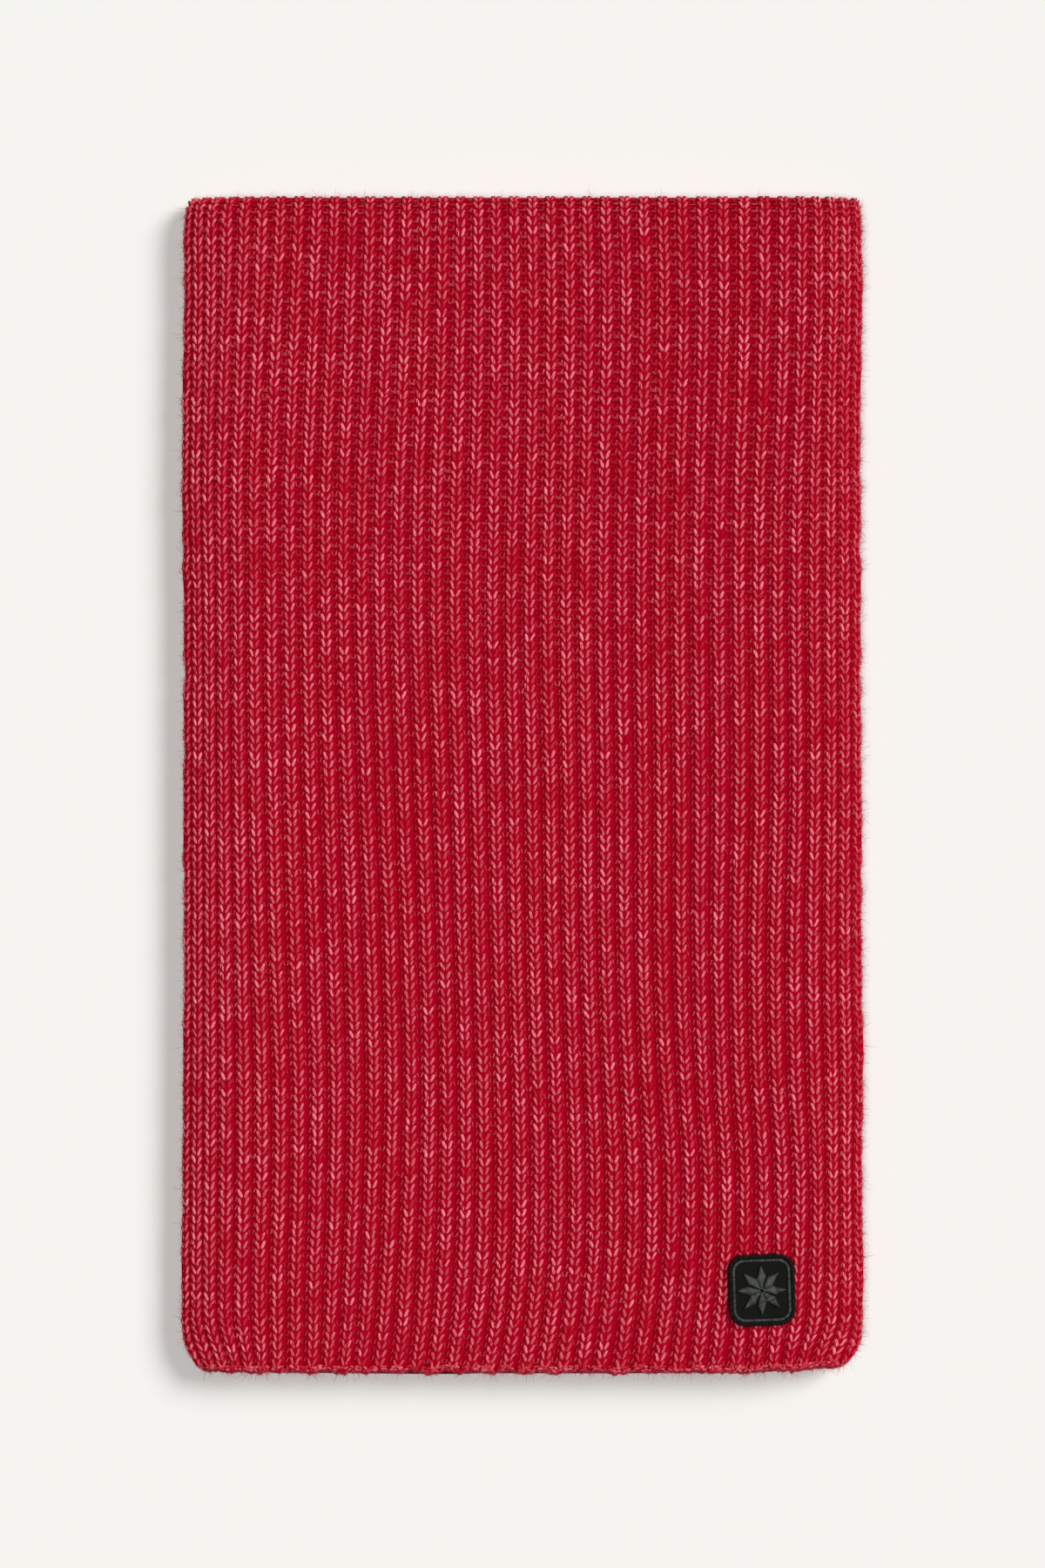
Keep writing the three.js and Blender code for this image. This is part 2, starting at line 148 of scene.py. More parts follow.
def fold_reach(x):
    """The fold stands out by more than half the stack's height where the stack is low."""
    return (HEIGHT / stack_height(x)) ** FOLD_SQUARENESS


print(f"the ribs wander by {np.ptp(WANDER_SHIFT) / MM:.1f} mm in all")

# %% [markdown]
# ## The line across the top layer
#
# Seen from the free end, the top layer is a long low arch that rolls over a rounded nose at each selvedge.
# The line is kept as places, heights and outward directions at distances along it, so that a rib near a
# selvedge leans outwards with the cloth and keeps its true width.

# %% The arch across the scarf
NOSE_START = 0.4 * MM
NOSE_TIP = 0.06 * MM
NOSE_RISE = 0.4 * MM
NOSE_END_HEIGHT = 9.9 * MM
SLOPE_BLEND = 1.2 * MM
ARCH_PLACES = 1200
ARCH_STEP = 0.1 * MM


def arch_line():
    """The right half's places, heights and outward slopes at even steps, and the left half's."""
    x = np.linspace(0, HALF_WIDTH - NOSE_START, ARCH_PLACES)
    x = np.append(x, [HALF_WIDTH - NOSE_TIP, HALF_WIDTH])
    z = np.append(stack_height(x[:-2]), [stack_height(HALF_WIDTH) + NOSE_RISE, NOSE_END_HEIGHT])
    along = np.append(0, np.cumsum(np.hypot(np.diff(x), np.diff(z))))
    fine = np.arange(0, along[-1], ARCH_STEP)
    ahead, behind = np.minimum(fine + SLOPE_BLEND / 2, along[-1]), fine - SLOPE_BLEND / 2
    run = np.interp(ahead, along, x) - np.interp(np.abs(behind), along, x) * np.sign(behind)
    slope = np.arctan2(np.interp(ahead, along, z) - np.interp(np.abs(behind), along, z), run)
    x, z = np.interp(fine, along, x), np.interp(fine, along, z)
    halves = ((-fine[:0:-1], fine), (-x[:0:-1], x), (z[:0:-1], z), (-slope[:0:-1], slope))
    return [np.concatenate(pair) for pair in halves]


ARCH_AT, ARCH_X, ARCH_Z, ARCH_SLOPE = arch_line()
ARCH_END = ARCH_AT[-1]
print(f"the arch is {2 * ARCH_END:.4f} m long, selvedge to selvedge")

# %% [markdown]
# ## One function that puts anything on the scarf
#
# on_scarf takes a place across the arch, a distance from the free end and a height above the crests of the
# ribs, and gives the place in space. Past the flat stretch the scarf turns in a half circle round the
# layers below. The free end is rounded and ragged, and rises a little near its right corner. The ground of
# the knit, its stitches and its loosest fibre are all placed by this function.

# %% Place points on the scarf
FOLD_ANGLES = np.radians([0, 30, 60, 90, 120, 150, 180])
FOLD_INSET_LEFT = np.array([0, 0.6, 2.0, 4.0, 3.4, 2.6, 2.0]) * MM
FOLD_INSET_RIGHT = np.array([0, 0.2, 0.8, 1.6, 1.8, 2.0, 2.0]) * MM
FOLD_ARC = math.pi * HEIGHT / 2
END_ROUNDING = 2.3 * MM
END_DROP = LAYER * HEIGHT / 2
END_WAVE = 0.5 * MM
END_WAVE_LENGTH = 11 * MM
END_RAGGED = 0.3 * MM
END_RAGGED_LENGTH = 3.5 * MM
END_WAVE_FADE = 7 * MM
END_RISE = 1.6 * MM
END_RISE_LENGTH = 25 * MM
END_RISE_BAND = (0.65 * HALF_WIDTH, 0.95 * HALF_WIDTH)
SIDE_WAVE = 0.35 * MM
SIDE_WAVE_LENGTH = 10 * MM
WAVES_IN_SUM = 6
WAVE_LENGTHS = (0.7, 1.6)  # of the size that is asked for
WAVE_SUM_HEIGHT = 2.4


def slow_waves(x, y, size, seed):
    """Soft random waves between about -1 and 1, a sum of tilted sines of about the given size."""
    own = np.random.default_rng(seed)
    total = np.zeros(np.broadcast(x, y).shape)
    for _ in range(WAVES_IN_SUM):
        angle = own.uniform(0, math.tau)
        length = size * own.uniform(*WAVE_LENGTHS)
        start = own.uniform(0, math.tau)
        total += np.sin((x * np.cos(angle) + y * np.sin(angle)) * math.tau / length + start)
    return total / WAVE_SUM_HEIGHT


def drawn_across(x, y, turn=0.0):
    """Where a place across the straight scarf lies once the ribs wander and the corners draw in."""
    to_end = 1 - np.clip((y - FRONT_Y) / END_CORNER_LENGTH, 0, 1)
    round_end = END_CORNER_WIDTH * (1 - np.sqrt(1 - to_end**2))
    inset = np.where(x < 0, np.interp(turn, FOLD_ANGLES, FOLD_INSET_LEFT),
                     np.interp(turn, FOLD_ANGLES, FOLD_INSET_RIGHT))
    lean = CORNER_LEAN * (1 - smoothstep(y, FRONT_Y, FRONT_Y + LEAN_LENGTH))
    pull = smoothstep(np.abs(x), HALF_WIDTH - CORNER_PULL, HALF_WIDTH - CORNER_BAND)
    band = np.clip((np.abs(x) - HALF_WIDTH + CORNER_BAND) / CORNER_BAND, 0, 1)
    ragged = SIDE_WAVE * slow_waves(np.sign(x) * SIDE_WAVE_LENGTH, y, SIDE_WAVE_LENGTH, seed=14)
    return x + wander(x, y) - np.sign(x) * (pull * (lean + inset) + band * (round_end - lean + ragged))


def on_scarf(across, along, height):
    """Points in space at places across the arch, distances from the free end and heights over the crests."""
    across, along, height = np.broadcast_arrays(across, along, height)
    slope = np.interp(across, ARCH_AT, ARCH_SLOPE)
    past_end = across - np.clip(across, -ARCH_END, ARCH_END)
    x = np.interp(across, ARCH_AT, ARCH_X) - height * np.sin(slope) + past_end * np.cos(slope)
    z = np.interp(across, ARCH_AT, ARCH_Z) + height * np.cos(slope) + past_end * np.sin(slope)
    near_end = 1 - np.clip(along / END_ROUNDING, 0, 1)
    z = z - END_DROP * (1 - np.sqrt(1 - near_end**2))
    middle = stack_height(x) / 2
    turn = np.clip((along - FLAT_LENGTH) / (HEIGHT / 2), 0, math.pi)
    under = np.maximum(along - FLAT_LENGTH - FOLD_ARC, 0)
    end_wave = END_WAVE * slow_waves(x, 0.0, END_WAVE_LENGTH, seed=12)
    end_wave = end_wave + END_RAGGED * slow_waves(x, 0.0, END_RAGGED_LENGTH, seed=13)
    end_wave = end_wave * (1 - smoothstep(along, 0, END_WAVE_FADE))
    end_rise = END_RISE * smoothstep(x, *END_RISE_BAND)
    end_rise = end_rise * (1 - smoothstep(along, 0, END_RISE_LENGTH))
    y_flat = FRONT_Y + np.minimum(along, FLAT_LENGTH) + end_wave
    y = y_flat + end_rise + (z - middle) * np.sin(turn) * fold_reach(x) - under
    z = middle + (z - middle) * np.cos(turn)
    return np.stack([drawn_across(x, y_flat, turn), y, z], axis=-1)


print("the fold's highest point:", np.round(on_scarf(0.0, FLAT_LENGTH + FOLD_ARC / 2, 0.0), 4))

# %% [markdown]
# ## Ribs and rows
#
# The knit is pulled in towards both selvedges, so the ribs are closer together there. The table gives some
# ribs' places in millimetres, and a smooth curve gives the others. Rows of stitches are 3.5 mm apart, and a
# little longer near the fold, where the cloth is stretched over the layers below.

# %% Where each rib and row lies
RIB_PLACES = {1: -138.8, 3: -128.7, 6: -109.4, 10: -79.3, 15: -41.2, 20: -3.6,
              25: 33.8, 30: 72.8, 34: 104.9, 37: 126.9, 39: 138.6}
ROW_PITCH = 3.47 * MM
ROW_STRETCH = 0.28 * MM
STRETCHED_FROM, STRETCHED_TO = 0.6, 0.95  # of the way to the last row
BIND_OFF = 4.0 * MM
LAST_TURN = math.radians(150)


def rib_crests():
    known, places = np.array(list(RIB_PLACES)), np.array(list(RIB_PLACES.values())) * MM
    return np.interp(smooth_curve(np.arange(1, RIBS + 1), known, places), ARCH_X, ARCH_AT)


def row_starts():
    rows = [BIND_OFF]
    last = FLAT_LENGTH + HEIGHT / 2 * LAST_TURN
    while rows[-1] < last:
        stretch = ROW_STRETCH * smoothstep(rows[-1], STRETCHED_FROM * last, STRETCHED_TO * last)
        rows.append(rows[-1] + ROW_PITCH + stretch)
    return np.array(rows)


CRESTS = rib_crests()
VALLEYS = (CRESTS[1:] + CRESTS[:-1]) / 2
PITCHES = np.gradient(CRESTS)
ROWS = row_starts()
ROW_LENGTHS = np.gradient(ROWS)
FULL_PITCH = PITCHES.max()
print(f"{len(CRESTS)} ribs, {FULL_PITCH / MM:.2f} mm apart, and {len(ROWS)} rows")

# %% [markdown]
# ## Helpers for meshes and materials
#
# A repeated form is modelled once. lay_copies then writes all its copies into one mesh, from whole arrays,
# because thousands of separate objects would be slow. Each copy can carry numbers of its own, such as how
# pink it is, which the material reads as attributes. Each also gets a cell of its own on a flat picture, so
# that the colours can later be baked into an image.

# %% Helpers for meshes
ALL_PIECES = []
FLAT_MAP = "OFBake"
CELL_MARGIN = 0.06


def deselect_all():
    if bpy.context.object and bpy.context.object.mode != "OBJECT":
        bpy.ops.object.mode_set(mode="OBJECT")
    bpy.ops.object.select_all(action="DESELECT")


def select_points(piece, wanted):
    """Selects the points of an edited mesh for which wanted(place) is true."""
    bpy.ops.object.mode_set(mode="EDIT")
    bpy.ops.mesh.select_mode(type="VERT")
    bpy.ops.mesh.select_all(action="DESELECT")
    bpy.ops.object.mode_set(mode="OBJECT")
    for point in piece.data.vertices:
        point.select = bool(wanted(point.co))
    bpy.ops.object.mode_set(mode="EDIT")


def take_form(piece):
    """Reads a modelled form as arrays, with its places on a flat picture, and removes its object."""
    mesh = piece.data
    points = np.empty(len(mesh.vertices) * 3)
    mesh.vertices.foreach_get("co", points)
    flat = np.empty(len(mesh.loops) * 2)
    mesh.uv_layers.active.data.foreach_get("uv", flat)
    faces = [tuple(face.vertices) for face in mesh.polygons]
    bpy.data.objects.remove(piece)
    bpy.data.meshes.remove(mesh)
    return {"points": points.reshape(-1, 3), "faces": faces, "flat": flat.reshape(-1, 2), "numbers": {}}


def mirrored(form):
    """The same form turned left to right, with its faces still outwards."""
    points = form["points"] * (-1, 1, 1)
    faces = [face[::-1] for face in form["faces"]]
    ends = np.cumsum([len(face) for face in faces])
    flat = np.concatenate([part[::-1] for part in np.split(form["flat"], ends[:-1])])
    numbers = {**form["numbers"], "sideways": -form["numbers"]["sideways"]}
    return {"points": points, "faces": faces, "flat": flat, "numbers": numbers}


def quarter_turned(form):
    """The same form laid across the ribs: what was its length is now its breadth."""
    points = form["points"][:, [1, 0, 2]] * (-1, 1, 1)
    return {**form, "points": points}


def finish_piece(name, mesh, material):
    mesh.materials.append(material)
    mesh.update(calc_edges=True)
    piece = bpy.data.objects.new(name, mesh)
    bpy.context.scene.collection.objects.link(piece)
    ALL_PIECES.append(piece)
    mesh.calc_loop_triangles()
    print(f"{name}: {len(mesh.loop_triangles)} triangles")
    return piece


def closed_shell(name, rings, material):
    """A closed skin over rings of points: each ring is joined to the next, and both ends are capped."""
    rows, count = rings.shape[:2]
    faces = []
    for row in range(rows - 1):
        for k in range(count):
            here = row * count + k
            after = row * count + (k + 1) % count
            faces.append((here, after, after + count, here + count))
    faces.append(tuple(range(count))[::-1])
    faces.append(tuple((rows - 1) * count + k for k in range(count)))
    mesh = bpy.data.meshes.new(name)
    mesh.from_pydata(rings.reshape(-1, 3).tolist(), [], faces)
    mesh.polygons.foreach_set("use_smooth", [True] * len(mesh.polygons))
    return finish_piece(name, mesh, material)


def flat_cells(form, cells, columns):
    """Lays the flat pictures of many copies out in the cells of a square grid, each with a margin."""
    corner = np.stack([cells % columns, cells // columns], axis=1)[:, None]
    inside = CELL_MARGIN + form["flat"] * (1 - 2 * CELL_MARGIN)
    return ((corner + inside) / columns).reshape(-1, 2)


def lay_copies(name, batches, material):
    """One mesh from batches of (form, places of all its copies' points, numbers of its copies)."""
    points, loops, totals, flat_places, numbers, start, laid = [], [], [], [], {}, 0, 0
    columns = math.ceil(math.sqrt(sum(len(places) for _, places, _ in batches)))
    for form, places, own in batches:
        copies, count = places.shape[:2]
        flat = np.concatenate([np.array(face) for face in form["faces"]])
        firsts = start + np.arange(copies)[:, None] * count
        points.append(places.reshape(-1, 3))
        loops.append((firsts + flat).ravel())
        totals.append(np.tile([len(face) for face in form["faces"]], copies))
        shared = {key: np.broadcast_to(values, (copies, count)) for key, values in form["numbers"].items()}
        single = {key: np.broadcast_to(values[:, None], (copies, count)) for key, values in own.items()
                  if values.ndim == 1}
        for key, values in {**shared, **own, **single}.items():
            numbers.setdefault(key, []).append(values.ravel())
        flat_places.append(flat_cells(form, laid + np.arange(copies), columns))
        laid += copies
        start += copies * count
    points, loops, totals, flat_places = (np.concatenate(x) for x in (points, loops, totals, flat_places))
    mesh = bpy.data.meshes.new(name)
    mesh.vertices.add(len(points))
    mesh.vertices.foreach_set("co", points.ravel())
    mesh.loops.add(len(loops))
    mesh.loops.foreach_set("vertex_index", loops)
    mesh.polygons.add(len(totals))
    mesh.polygons.foreach_set("loop_start", np.append(0, np.cumsum(totals)[:-1]))
    mesh.polygons.foreach_set("use_smooth", np.ones(len(totals), bool))
    for key, values in numbers.items():
        mesh.attributes.new(key, "FLOAT", "POINT").data.foreach_set("value", np.concatenate(values))
    mesh.update(calc_edges=True)
    mesh.uv_layers.new(name=FLAT_MAP).data.foreach_set("uv", flat_places.ravel())
    return finish_piece(name, mesh, material)


# %% Helpers for materials
CLOTH_DETAIL = 3
CLOTH_RELIEF = 0.6


def linear(hex_colour):
    """An sRGB hex colour as the linear colour that a shader wants."""
    parts = [int(hex_colour[k : k + 2], 16) / 255 for k in (1, 3, 5)]
    return tuple(p / 12.92 if p <= 0.04045 else ((p + 0.055) / 1.055) ** 2.4 for p in parts) + (1,)


def add_node(tree, kind, inputs=None, output=0, **settings):
    """Adds a node and returns an output. inputs gives each socket a value, or the output linked to it."""
    node = tree.nodes.new(kind)
    for name, value in settings.items():
        setattr(node, name, value)
    for socket, value in (inputs or {}).items():
        if isinstance(value, bpy.types.NodeSocket):
            tree.links.new(value, node.inputs[socket])
        else:
            node.inputs[socket].default_value = value
    return node.outputs[output]


def new_material(name, **sockets):
    """A material with a Principled shader and the given constant values."""
    material = bpy.data.materials.new(name)
    material.use_nodes = True
    shader = material.node_tree.nodes["Principled BSDF"]
    for socket, value in sockets.items():
        shader.inputs[socket.replace("_", " ")].default_value = value
    return material, material.node_tree, shader


def number_from(tree, name):
    """The output of an attribute that each point of a mesh carries."""
    return add_node(tree, "ShaderNodeAttribute", output="Fac", attribute_name=name)


def soft_step(tree, value, low, high):
    limits = {"Value": value, "From Min": low, "From Max": high}
    return add_node(tree, "ShaderNodeMapRange", limits, "Result", interpolation_type="SMOOTHSTEP")


def calculate(tree, operation, *values):
    return add_node(tree, "ShaderNodeMath", dict(enumerate(values)), operation=operation)


def mix_colours(tree, share, first, second):
    """A Mix node that is set to colours takes them at sockets 6 and 7, and gives their mix at output 2."""
    return add_node(tree, "ShaderNodeMix", {0: share, 6: first, 7: second}, 2, data_type="RGBA")


def local_noise(tree, size, detail):
    """Noise with grains of the given size, fixed to the piece."""
    place = add_node(tree, "ShaderNodeTexCoord", output="Object")
    grains = {"Vector": place, "Scale": 1 / size, "Detail": detail}
    return add_node(tree, "ShaderNodeTexNoise", grains, "Fac")


def add_relief(tree, shader, height, strength, depth):
    """Lets a shader look as uneven as height says, without moving its surface."""
    bump = add_node(tree, "ShaderNodeBump", {"Height": height, "Strength": strength, "Distance": depth})
    tree.links.new(bump, shader.inputs["Normal"])


def mottled_cloth(name, dark, light, mottle_size, relief, contrast=None, sheen=0.0):
    """A matt cloth between two colours, in soft patches that also stand out a little."""
    material, tree, shader = new_material(name, Roughness=1.0, Specular_IOR_Level=sheen)
    mottle = local_noise(tree, mottle_size, CLOTH_DETAIL)
    share = soft_step(tree, mottle, *contrast) if contrast else mottle
    tree.links.new(mix_colours(tree, share, linear(dark), linear(light)), shader.inputs["Base Color"])
    add_relief(tree, shader, mottle, CLOTH_RELIEF, relief)
    return material


def toned_material(name, dark, light, **sockets):
    """A thread or fibre between two colours, by the tone that each copy carries."""
    material, tree, shader = new_material(name, **sockets)
    colour = mix_colours(tree, number_from(tree, "tone"), linear(dark), linear(light))
    tree.links.new(colour, shader.inputs["Base Color"])
    return material


# %% [markdown]
# ## The marled yarn
#
# The real yarn is soft acrylic and wool, plied from a red strand and a pale one, then lightly brushed. In
# each leg of a stitch the pale strand lies on the outside, so a leg is pink along its back. The pink is kept
# to the parts that face up, which is partly painted highlight, and each leg turns a deeper red at its rims
# and ends, which is painted shade. Four numbers on the mesh say where a point is: how far it faces up and
# out of the cloth and to the right, how far along the leg it is, and how pink this leg is. The strands'
# twist shows as streaks that climb to the right along every leg. Brushed wool is matt all over, so its
# shader has no highlight of its own.

# %% Marled yarn, plied and brushed
# Pink lies on the back of a leg, away from its ends: the pale strand, and partly painted highlight.
PINK_BACK = (0.25, 0.95)
PINK_ENDS = (0.08, 0.32)
# The deep colour, painted shade, gives way to red by how far a point faces up and how far it is from the
# ends.
UNSHADED_BACK = (-0.5, 0.4)
UNSHADED_ENDS = (0.0, 0.2)
STREAK_SHARE, GRAIN_SHARE, MOTTLE_MEAN = 3.6, 0.7, 2.15
FIBRE_GRAIN = 0.45 * MM
STREAKS_ACROSS = 2.2
STREAKS_ALONG = 1.2
STREAK_CLIMB = 2.3  # how far a streak moves across, in half widths of a leg, over the leg's length
TONE_TO_PLACE = 100  # legs of unlike tone take their streaks from places far apart in the noise
YARN_RELIEF, YARN_RELIEF_DEPTH = 0.5, 0.25 * MM
GRAIN_IN_RELIEF = 0.5


def yarn_streaks(tree, sideways, along, tone):
    """Soft streaks that run along a leg and climb to the right, as the strands of twisted yarn do."""
    climb = calculate(tree, "MULTIPLY", along, STREAK_CLIMB)
    across = calculate(tree, "MULTIPLY", calculate(tree, "SUBTRACT", sideways, climb), STREAKS_ACROSS)
    place = add_node(tree, "ShaderNodeCombineXYZ", {
        "X": across,
        "Y": calculate(tree, "MULTIPLY", along, STREAKS_ALONG),
        "Z": calculate(tree, "MULTIPLY", tone, TONE_TO_PLACE),
    })
    return add_node(tree, "ShaderNodeTexNoise", {"Vector": place, "Scale": 1.0, "Detail": 1}, "Fac")


def marled_yarn(name, red, deep, pink):
    """Yarn that is pink along its back, partly as painted highlight where it faces up, red further in, and a
    deeper red at its rims and ends as painted shade.
    """
    material, tree, shader = new_material(name, Roughness=1.0, Specular_IOR_Level=0.0)
    numbers = ("outward", "sideways", "along", "tone")
    outward, sideways, along, tone = (number_from(tree, key) for key in numbers)
    streaks = yarn_streaks(tree, sideways, along, tone)
    grain = local_noise(tree, FIBRE_GRAIN, detail=2)
    mottle = calculate(tree, "MULTIPLY_ADD", grain, GRAIN_SHARE,
                       calculate(tree, "MULTIPLY", streaks, STREAK_SHARE))
    ragged = calculate(tree, "ADD", outward, calculate(tree, "SUBTRACT", mottle, MOTTLE_MEAN))
    from_middle = calculate(tree, "ABSOLUTE", calculate(tree, "SUBTRACT", along, 0.5))
    from_end = calculate(tree, "SUBTRACT", 0.5, from_middle)
    # pink where a point faces up, away from the ends: the pale strand, and partly painted highlight
    pink_share = calculate(tree, "MULTIPLY", soft_step(tree, ragged, *PINK_BACK),
                           soft_step(tree, from_end, *PINK_ENDS))
    # red against the deep colour, which is painted shade at the rims and ends
    unshaded_share = calculate(tree, "MULTIPLY", soft_step(tree, ragged, *UNSHADED_BACK),
                          soft_step(tree, from_end, *UNSHADED_ENDS))
    ground = mix_colours(tree, unshaded_share, linear(deep), linear(red))
    pinkness = calculate(tree, "MULTIPLY", pink_share, tone)
    tree.links.new(mix_colours(tree, pinkness, ground, linear(pink)), shader.inputs["Base Color"])
    relief = calculate(tree, "MULTIPLY_ADD", grain, GRAIN_IN_RELIEF, streaks)
    add_relief(tree, shader, relief, YARN_RELIEF, YARN_RELIEF_DEPTH)
    return material


# Each yarn's second colour, for its rims and ends, is painted shade.
STITCH_YARN = marled_yarn("brushed_marled_yarn", "#B00221", "#A4001A", "#EC7E8B")
# The yarn of the valleys and of the hidden layers' edges is the same yarn in darker, less pink colours:
# painted shade.
VALLEY_YARN_WITH_PAINTED_SHADE = marled_yarn("marled_yarn_with_painted_valley_shade", "#A4021F", "#9C021A", "#D66474")

# %% [markdown]
# ## The ground of the knit
#
# Behind the stitches lies the body of the fabric, which shows only as depth between them. It is matt and
# deep red, darker than the yarn of the stitches: that extra darkness is painted shade of the hollows between
# them. A fine mottle stands for the yarn that crosses there.

# %% Deep red knit ground, darker as painted shade
GROUND_WITH_PAINTED_SHADE = mottled_cloth("knit_ground_with_painted_shade", "#960219", "#A4021F", mottle_size=1.6 * MM, relief=0.4 * MM,
                       contrast=(0.35, 0.7))

# %% [markdown]
# ## The top layer's ground
#
# The ground is a thin closed shell: a ribbed outer face, a plain inner face, and the two joined round the
# noses at the selvedges. It could be a grid with a Wave modifier, but each rib has a width and a wander of
# its own, so its sections are worked out with on_scarf and joined to each other.

# %% The ground of the top layer
GROUND_CREST = 0.85 * MM
GROUND_VALLEY = 1.9 * MM
GROUND_EDGE = 0.7 * MM
RIB_BREADTH = 2.2  # 2 gives a rib an even curve, and more gives it a broader back and a narrower valley
FOLD_CREST = 0.45 * MM
FOLD_VALLEY = 1.6 * MM
FOLD_BREADTH = 2.1
STEPS_PER_RIB = 8
NOSE_STEPS = 3
END_SECTIONS = np.array([0, 0.3, 0.8, 1.6, 2.6, 4, 6, 8, 11, 14, 17, 21]) * MM
LONG_SECTIONS_START = 26 * MM
GROUND_ROWS = 44
FOLD_ROWS = 10
BENT_PART = 0.35 * FOLD_ARC  # the start of the fold, over which the ribs are pulled flat
PRESSED_START = 0.8 * FOLD_ARC  # from here on the ribs are pressed away
INNER_DEPTH = 4.3 * MM


def ground_section(crest, valley, breadth):
    """Places across the outer face, with their depth under the crests, one rib after another."""
    ribs = np.arange(RIBS)
    steps = np.arange((RIBS - 1) * STEPS_PER_RIB + 1) / STEPS_PER_RIB
    across = np.interp(steps, ribs, CRESTS)
    from_crest = np.abs(steps - np.round(steps)) * 2
    depth = crest + (valley - crest) * from_crest**breadth
    ends = np.linspace(ARCH_END, CRESTS[-1], NOSE_STEPS + 1)[:-1]
    across = np.concatenate([-ends, across, ends[::-1]])
    edge = np.full(len(ends), GROUND_EDGE)
    return across, np.concatenate([edge, depth, edge])


def ground_of_top_layer():
    across, flat_depth = ground_section(GROUND_CREST, GROUND_VALLEY, RIB_BREADTH)
    _, fold_depth = ground_section(FOLD_CREST, FOLD_VALLEY, FOLD_BREADTH)
    along = np.concatenate([
        END_SECTIONS,
        np.linspace(LONG_SECTIONS_START, FLAT_LENGTH, GROUND_ROWS),
        FLAT_LENGTH + FOLD_ARC * np.linspace(0, 1, FOLD_ROWS + 1)[1:],
        [FLAT_LENGTH + FOLD_ARC + TUCK],
    ])
    bent = smoothstep(along, FLAT_LENGTH, FLAT_LENGTH + BENT_PART)[:, None]
    pressed = smoothstep(along, FLAT_LENGTH + PRESSED_START, FLAT_LENGTH + FOLD_ARC)[:, None]
    depth = flat_depth + (fold_depth - flat_depth) * bent
    outer = on_scarf(across, along[:, None], -depth * (1 - pressed))
    inner_across = across[::-STEPS_PER_RIB]
    inner_x = np.interp(inner_across, ARCH_AT, ARCH_X)
    inner_depth = stack_height(inner_x) * LAYER - SEAM_GAP / 2
    inner = on_scarf(inner_across, along[:, None], -np.minimum(inner_depth, INNER_DEPTH))
    return closed_shell("rib_ground", np.concatenate([outer, inner[:, 1:-1]], axis=1), GROUND_WITH_PAINTED_SHADE)


rib_ground = ground_of_top_layer()

# %% [markdown]
# ## One leg of a V
#
# A leg starts as a small ball, stretched to a grain and turned so that it lies along the rib. Its rings are
# then moved one by one: the low end stays by the middle of the rib, the high end swings out and both ends
# dive under their neighbours. The other leg is its mirror image.

# %% Model a leg
LEG_LENGTH = 5.2 * MM
LEG_WIDTH = 1.8 * MM
LEG_THICKNESS = 1.7 * MM
LEG_INNER = 0.55 * MM
LEG_OUTER = 1.95 * MM
LEG_DIVE = 1.0 * MM
LEG_DIVE_BEND = 2.2
LEG_OUTER_DROP = 0.35 * MM
LEG_SIDES, LEG_RINGS = 6, 5
SAME_RING = 0.02  # of the length: points this close belong to one ring
THINNEST_RING = 0.01


def dive(share, depth, bend):
    """How deep a grain dives at a share of its length: not at all in the middle, and most at its ends."""
    return depth * abs(2 * share - 1) ** bend


def bent_grain(length, width, thickness, sides, rings, place):
    """A grain whose rings are moved to place(share), which gives across and height; with its numbers."""
    deselect_all()
    bpy.ops.mesh.primitive_uv_sphere_add(segments=sides, ring_count=rings, radius=0.5)
    grain = bpy.context.object
    bpy.ops.object.mode_set(mode="EDIT")
    bpy.ops.transform.rotate(value=math.pi / 2, orient_axis="Z", center_override=(0, 0, 0))
    bpy.ops.transform.rotate(value=math.pi / 2, orient_axis="X", center_override=(0, 0, 0))
    bpy.ops.transform.resize(value=(width, length, thickness), center_override=(0, 0, 0))
    bpy.ops.object.mode_set(mode="OBJECT")
    before = np.array([point.co for point in grain.data.vertices])
    levels = np.unique(np.round(before[:, 1], 7))
    for level in levels:
        across, height = place(level / length + 0.5)
        select_points(grain, lambda co: abs(co[1] - level) < SAME_RING * length)
        bpy.ops.transform.translate(value=(across, 0, height))
    bpy.ops.object.mode_set(mode="OBJECT")
    form = take_form(grain)
    ring_half = np.maximum(np.sqrt(np.maximum(0.25 - (before[:, 1] / length) ** 2, 0)), THINNEST_RING)
    form["numbers"] = {
        "outward": np.clip(before[:, 2] / thickness / ring_half, -1, 1),
        "along": before[:, 1] / length + 0.5,
        "sideways": np.clip(before[:, 0] / width / ring_half, -1, 1),
    }
    return form


def leg_place(share):
    swing = share * share * (3 - 2 * share)
    across = LEG_INNER + (LEG_OUTER - LEG_INNER) * swing
    return across, -dive(share, LEG_DIVE, LEG_DIVE_BEND) - LEG_OUTER_DROP * swing


RIGHT_LEG = bent_grain(LEG_LENGTH, LEG_WIDTH, LEG_THICKNESS, LEG_SIDES, LEG_RINGS, leg_place)
LEFT_LEG = mirrored(RIGHT_LEG)
print(f"a leg has {len(RIGHT_LEG['points'])} points and {len(RIGHT_LEG['faces'])} faces")

# %% [markdown]
# ## Uneven by hand
#
# Copies that are all alike look machine-made. Small random differences are drawn for each leg, and slow
# waves of tone run along the rows, because the pale strand comes and goes in the yarn as it is knitted. The
# broadest waves also stand for the light and shade of the cloth's gentle undulation: painted light and
# shade.

# %% Slow waves and small differences
def grid_of(across, rows, lengths):
    """All pairs of a place across and a row, as flat arrays."""
    a, s = np.meshgrid(across, rows, indexing="ij")
    lengths = np.broadcast_to(lengths, a.shape)
    return a.ravel(), s.ravel(), lengths.ravel()


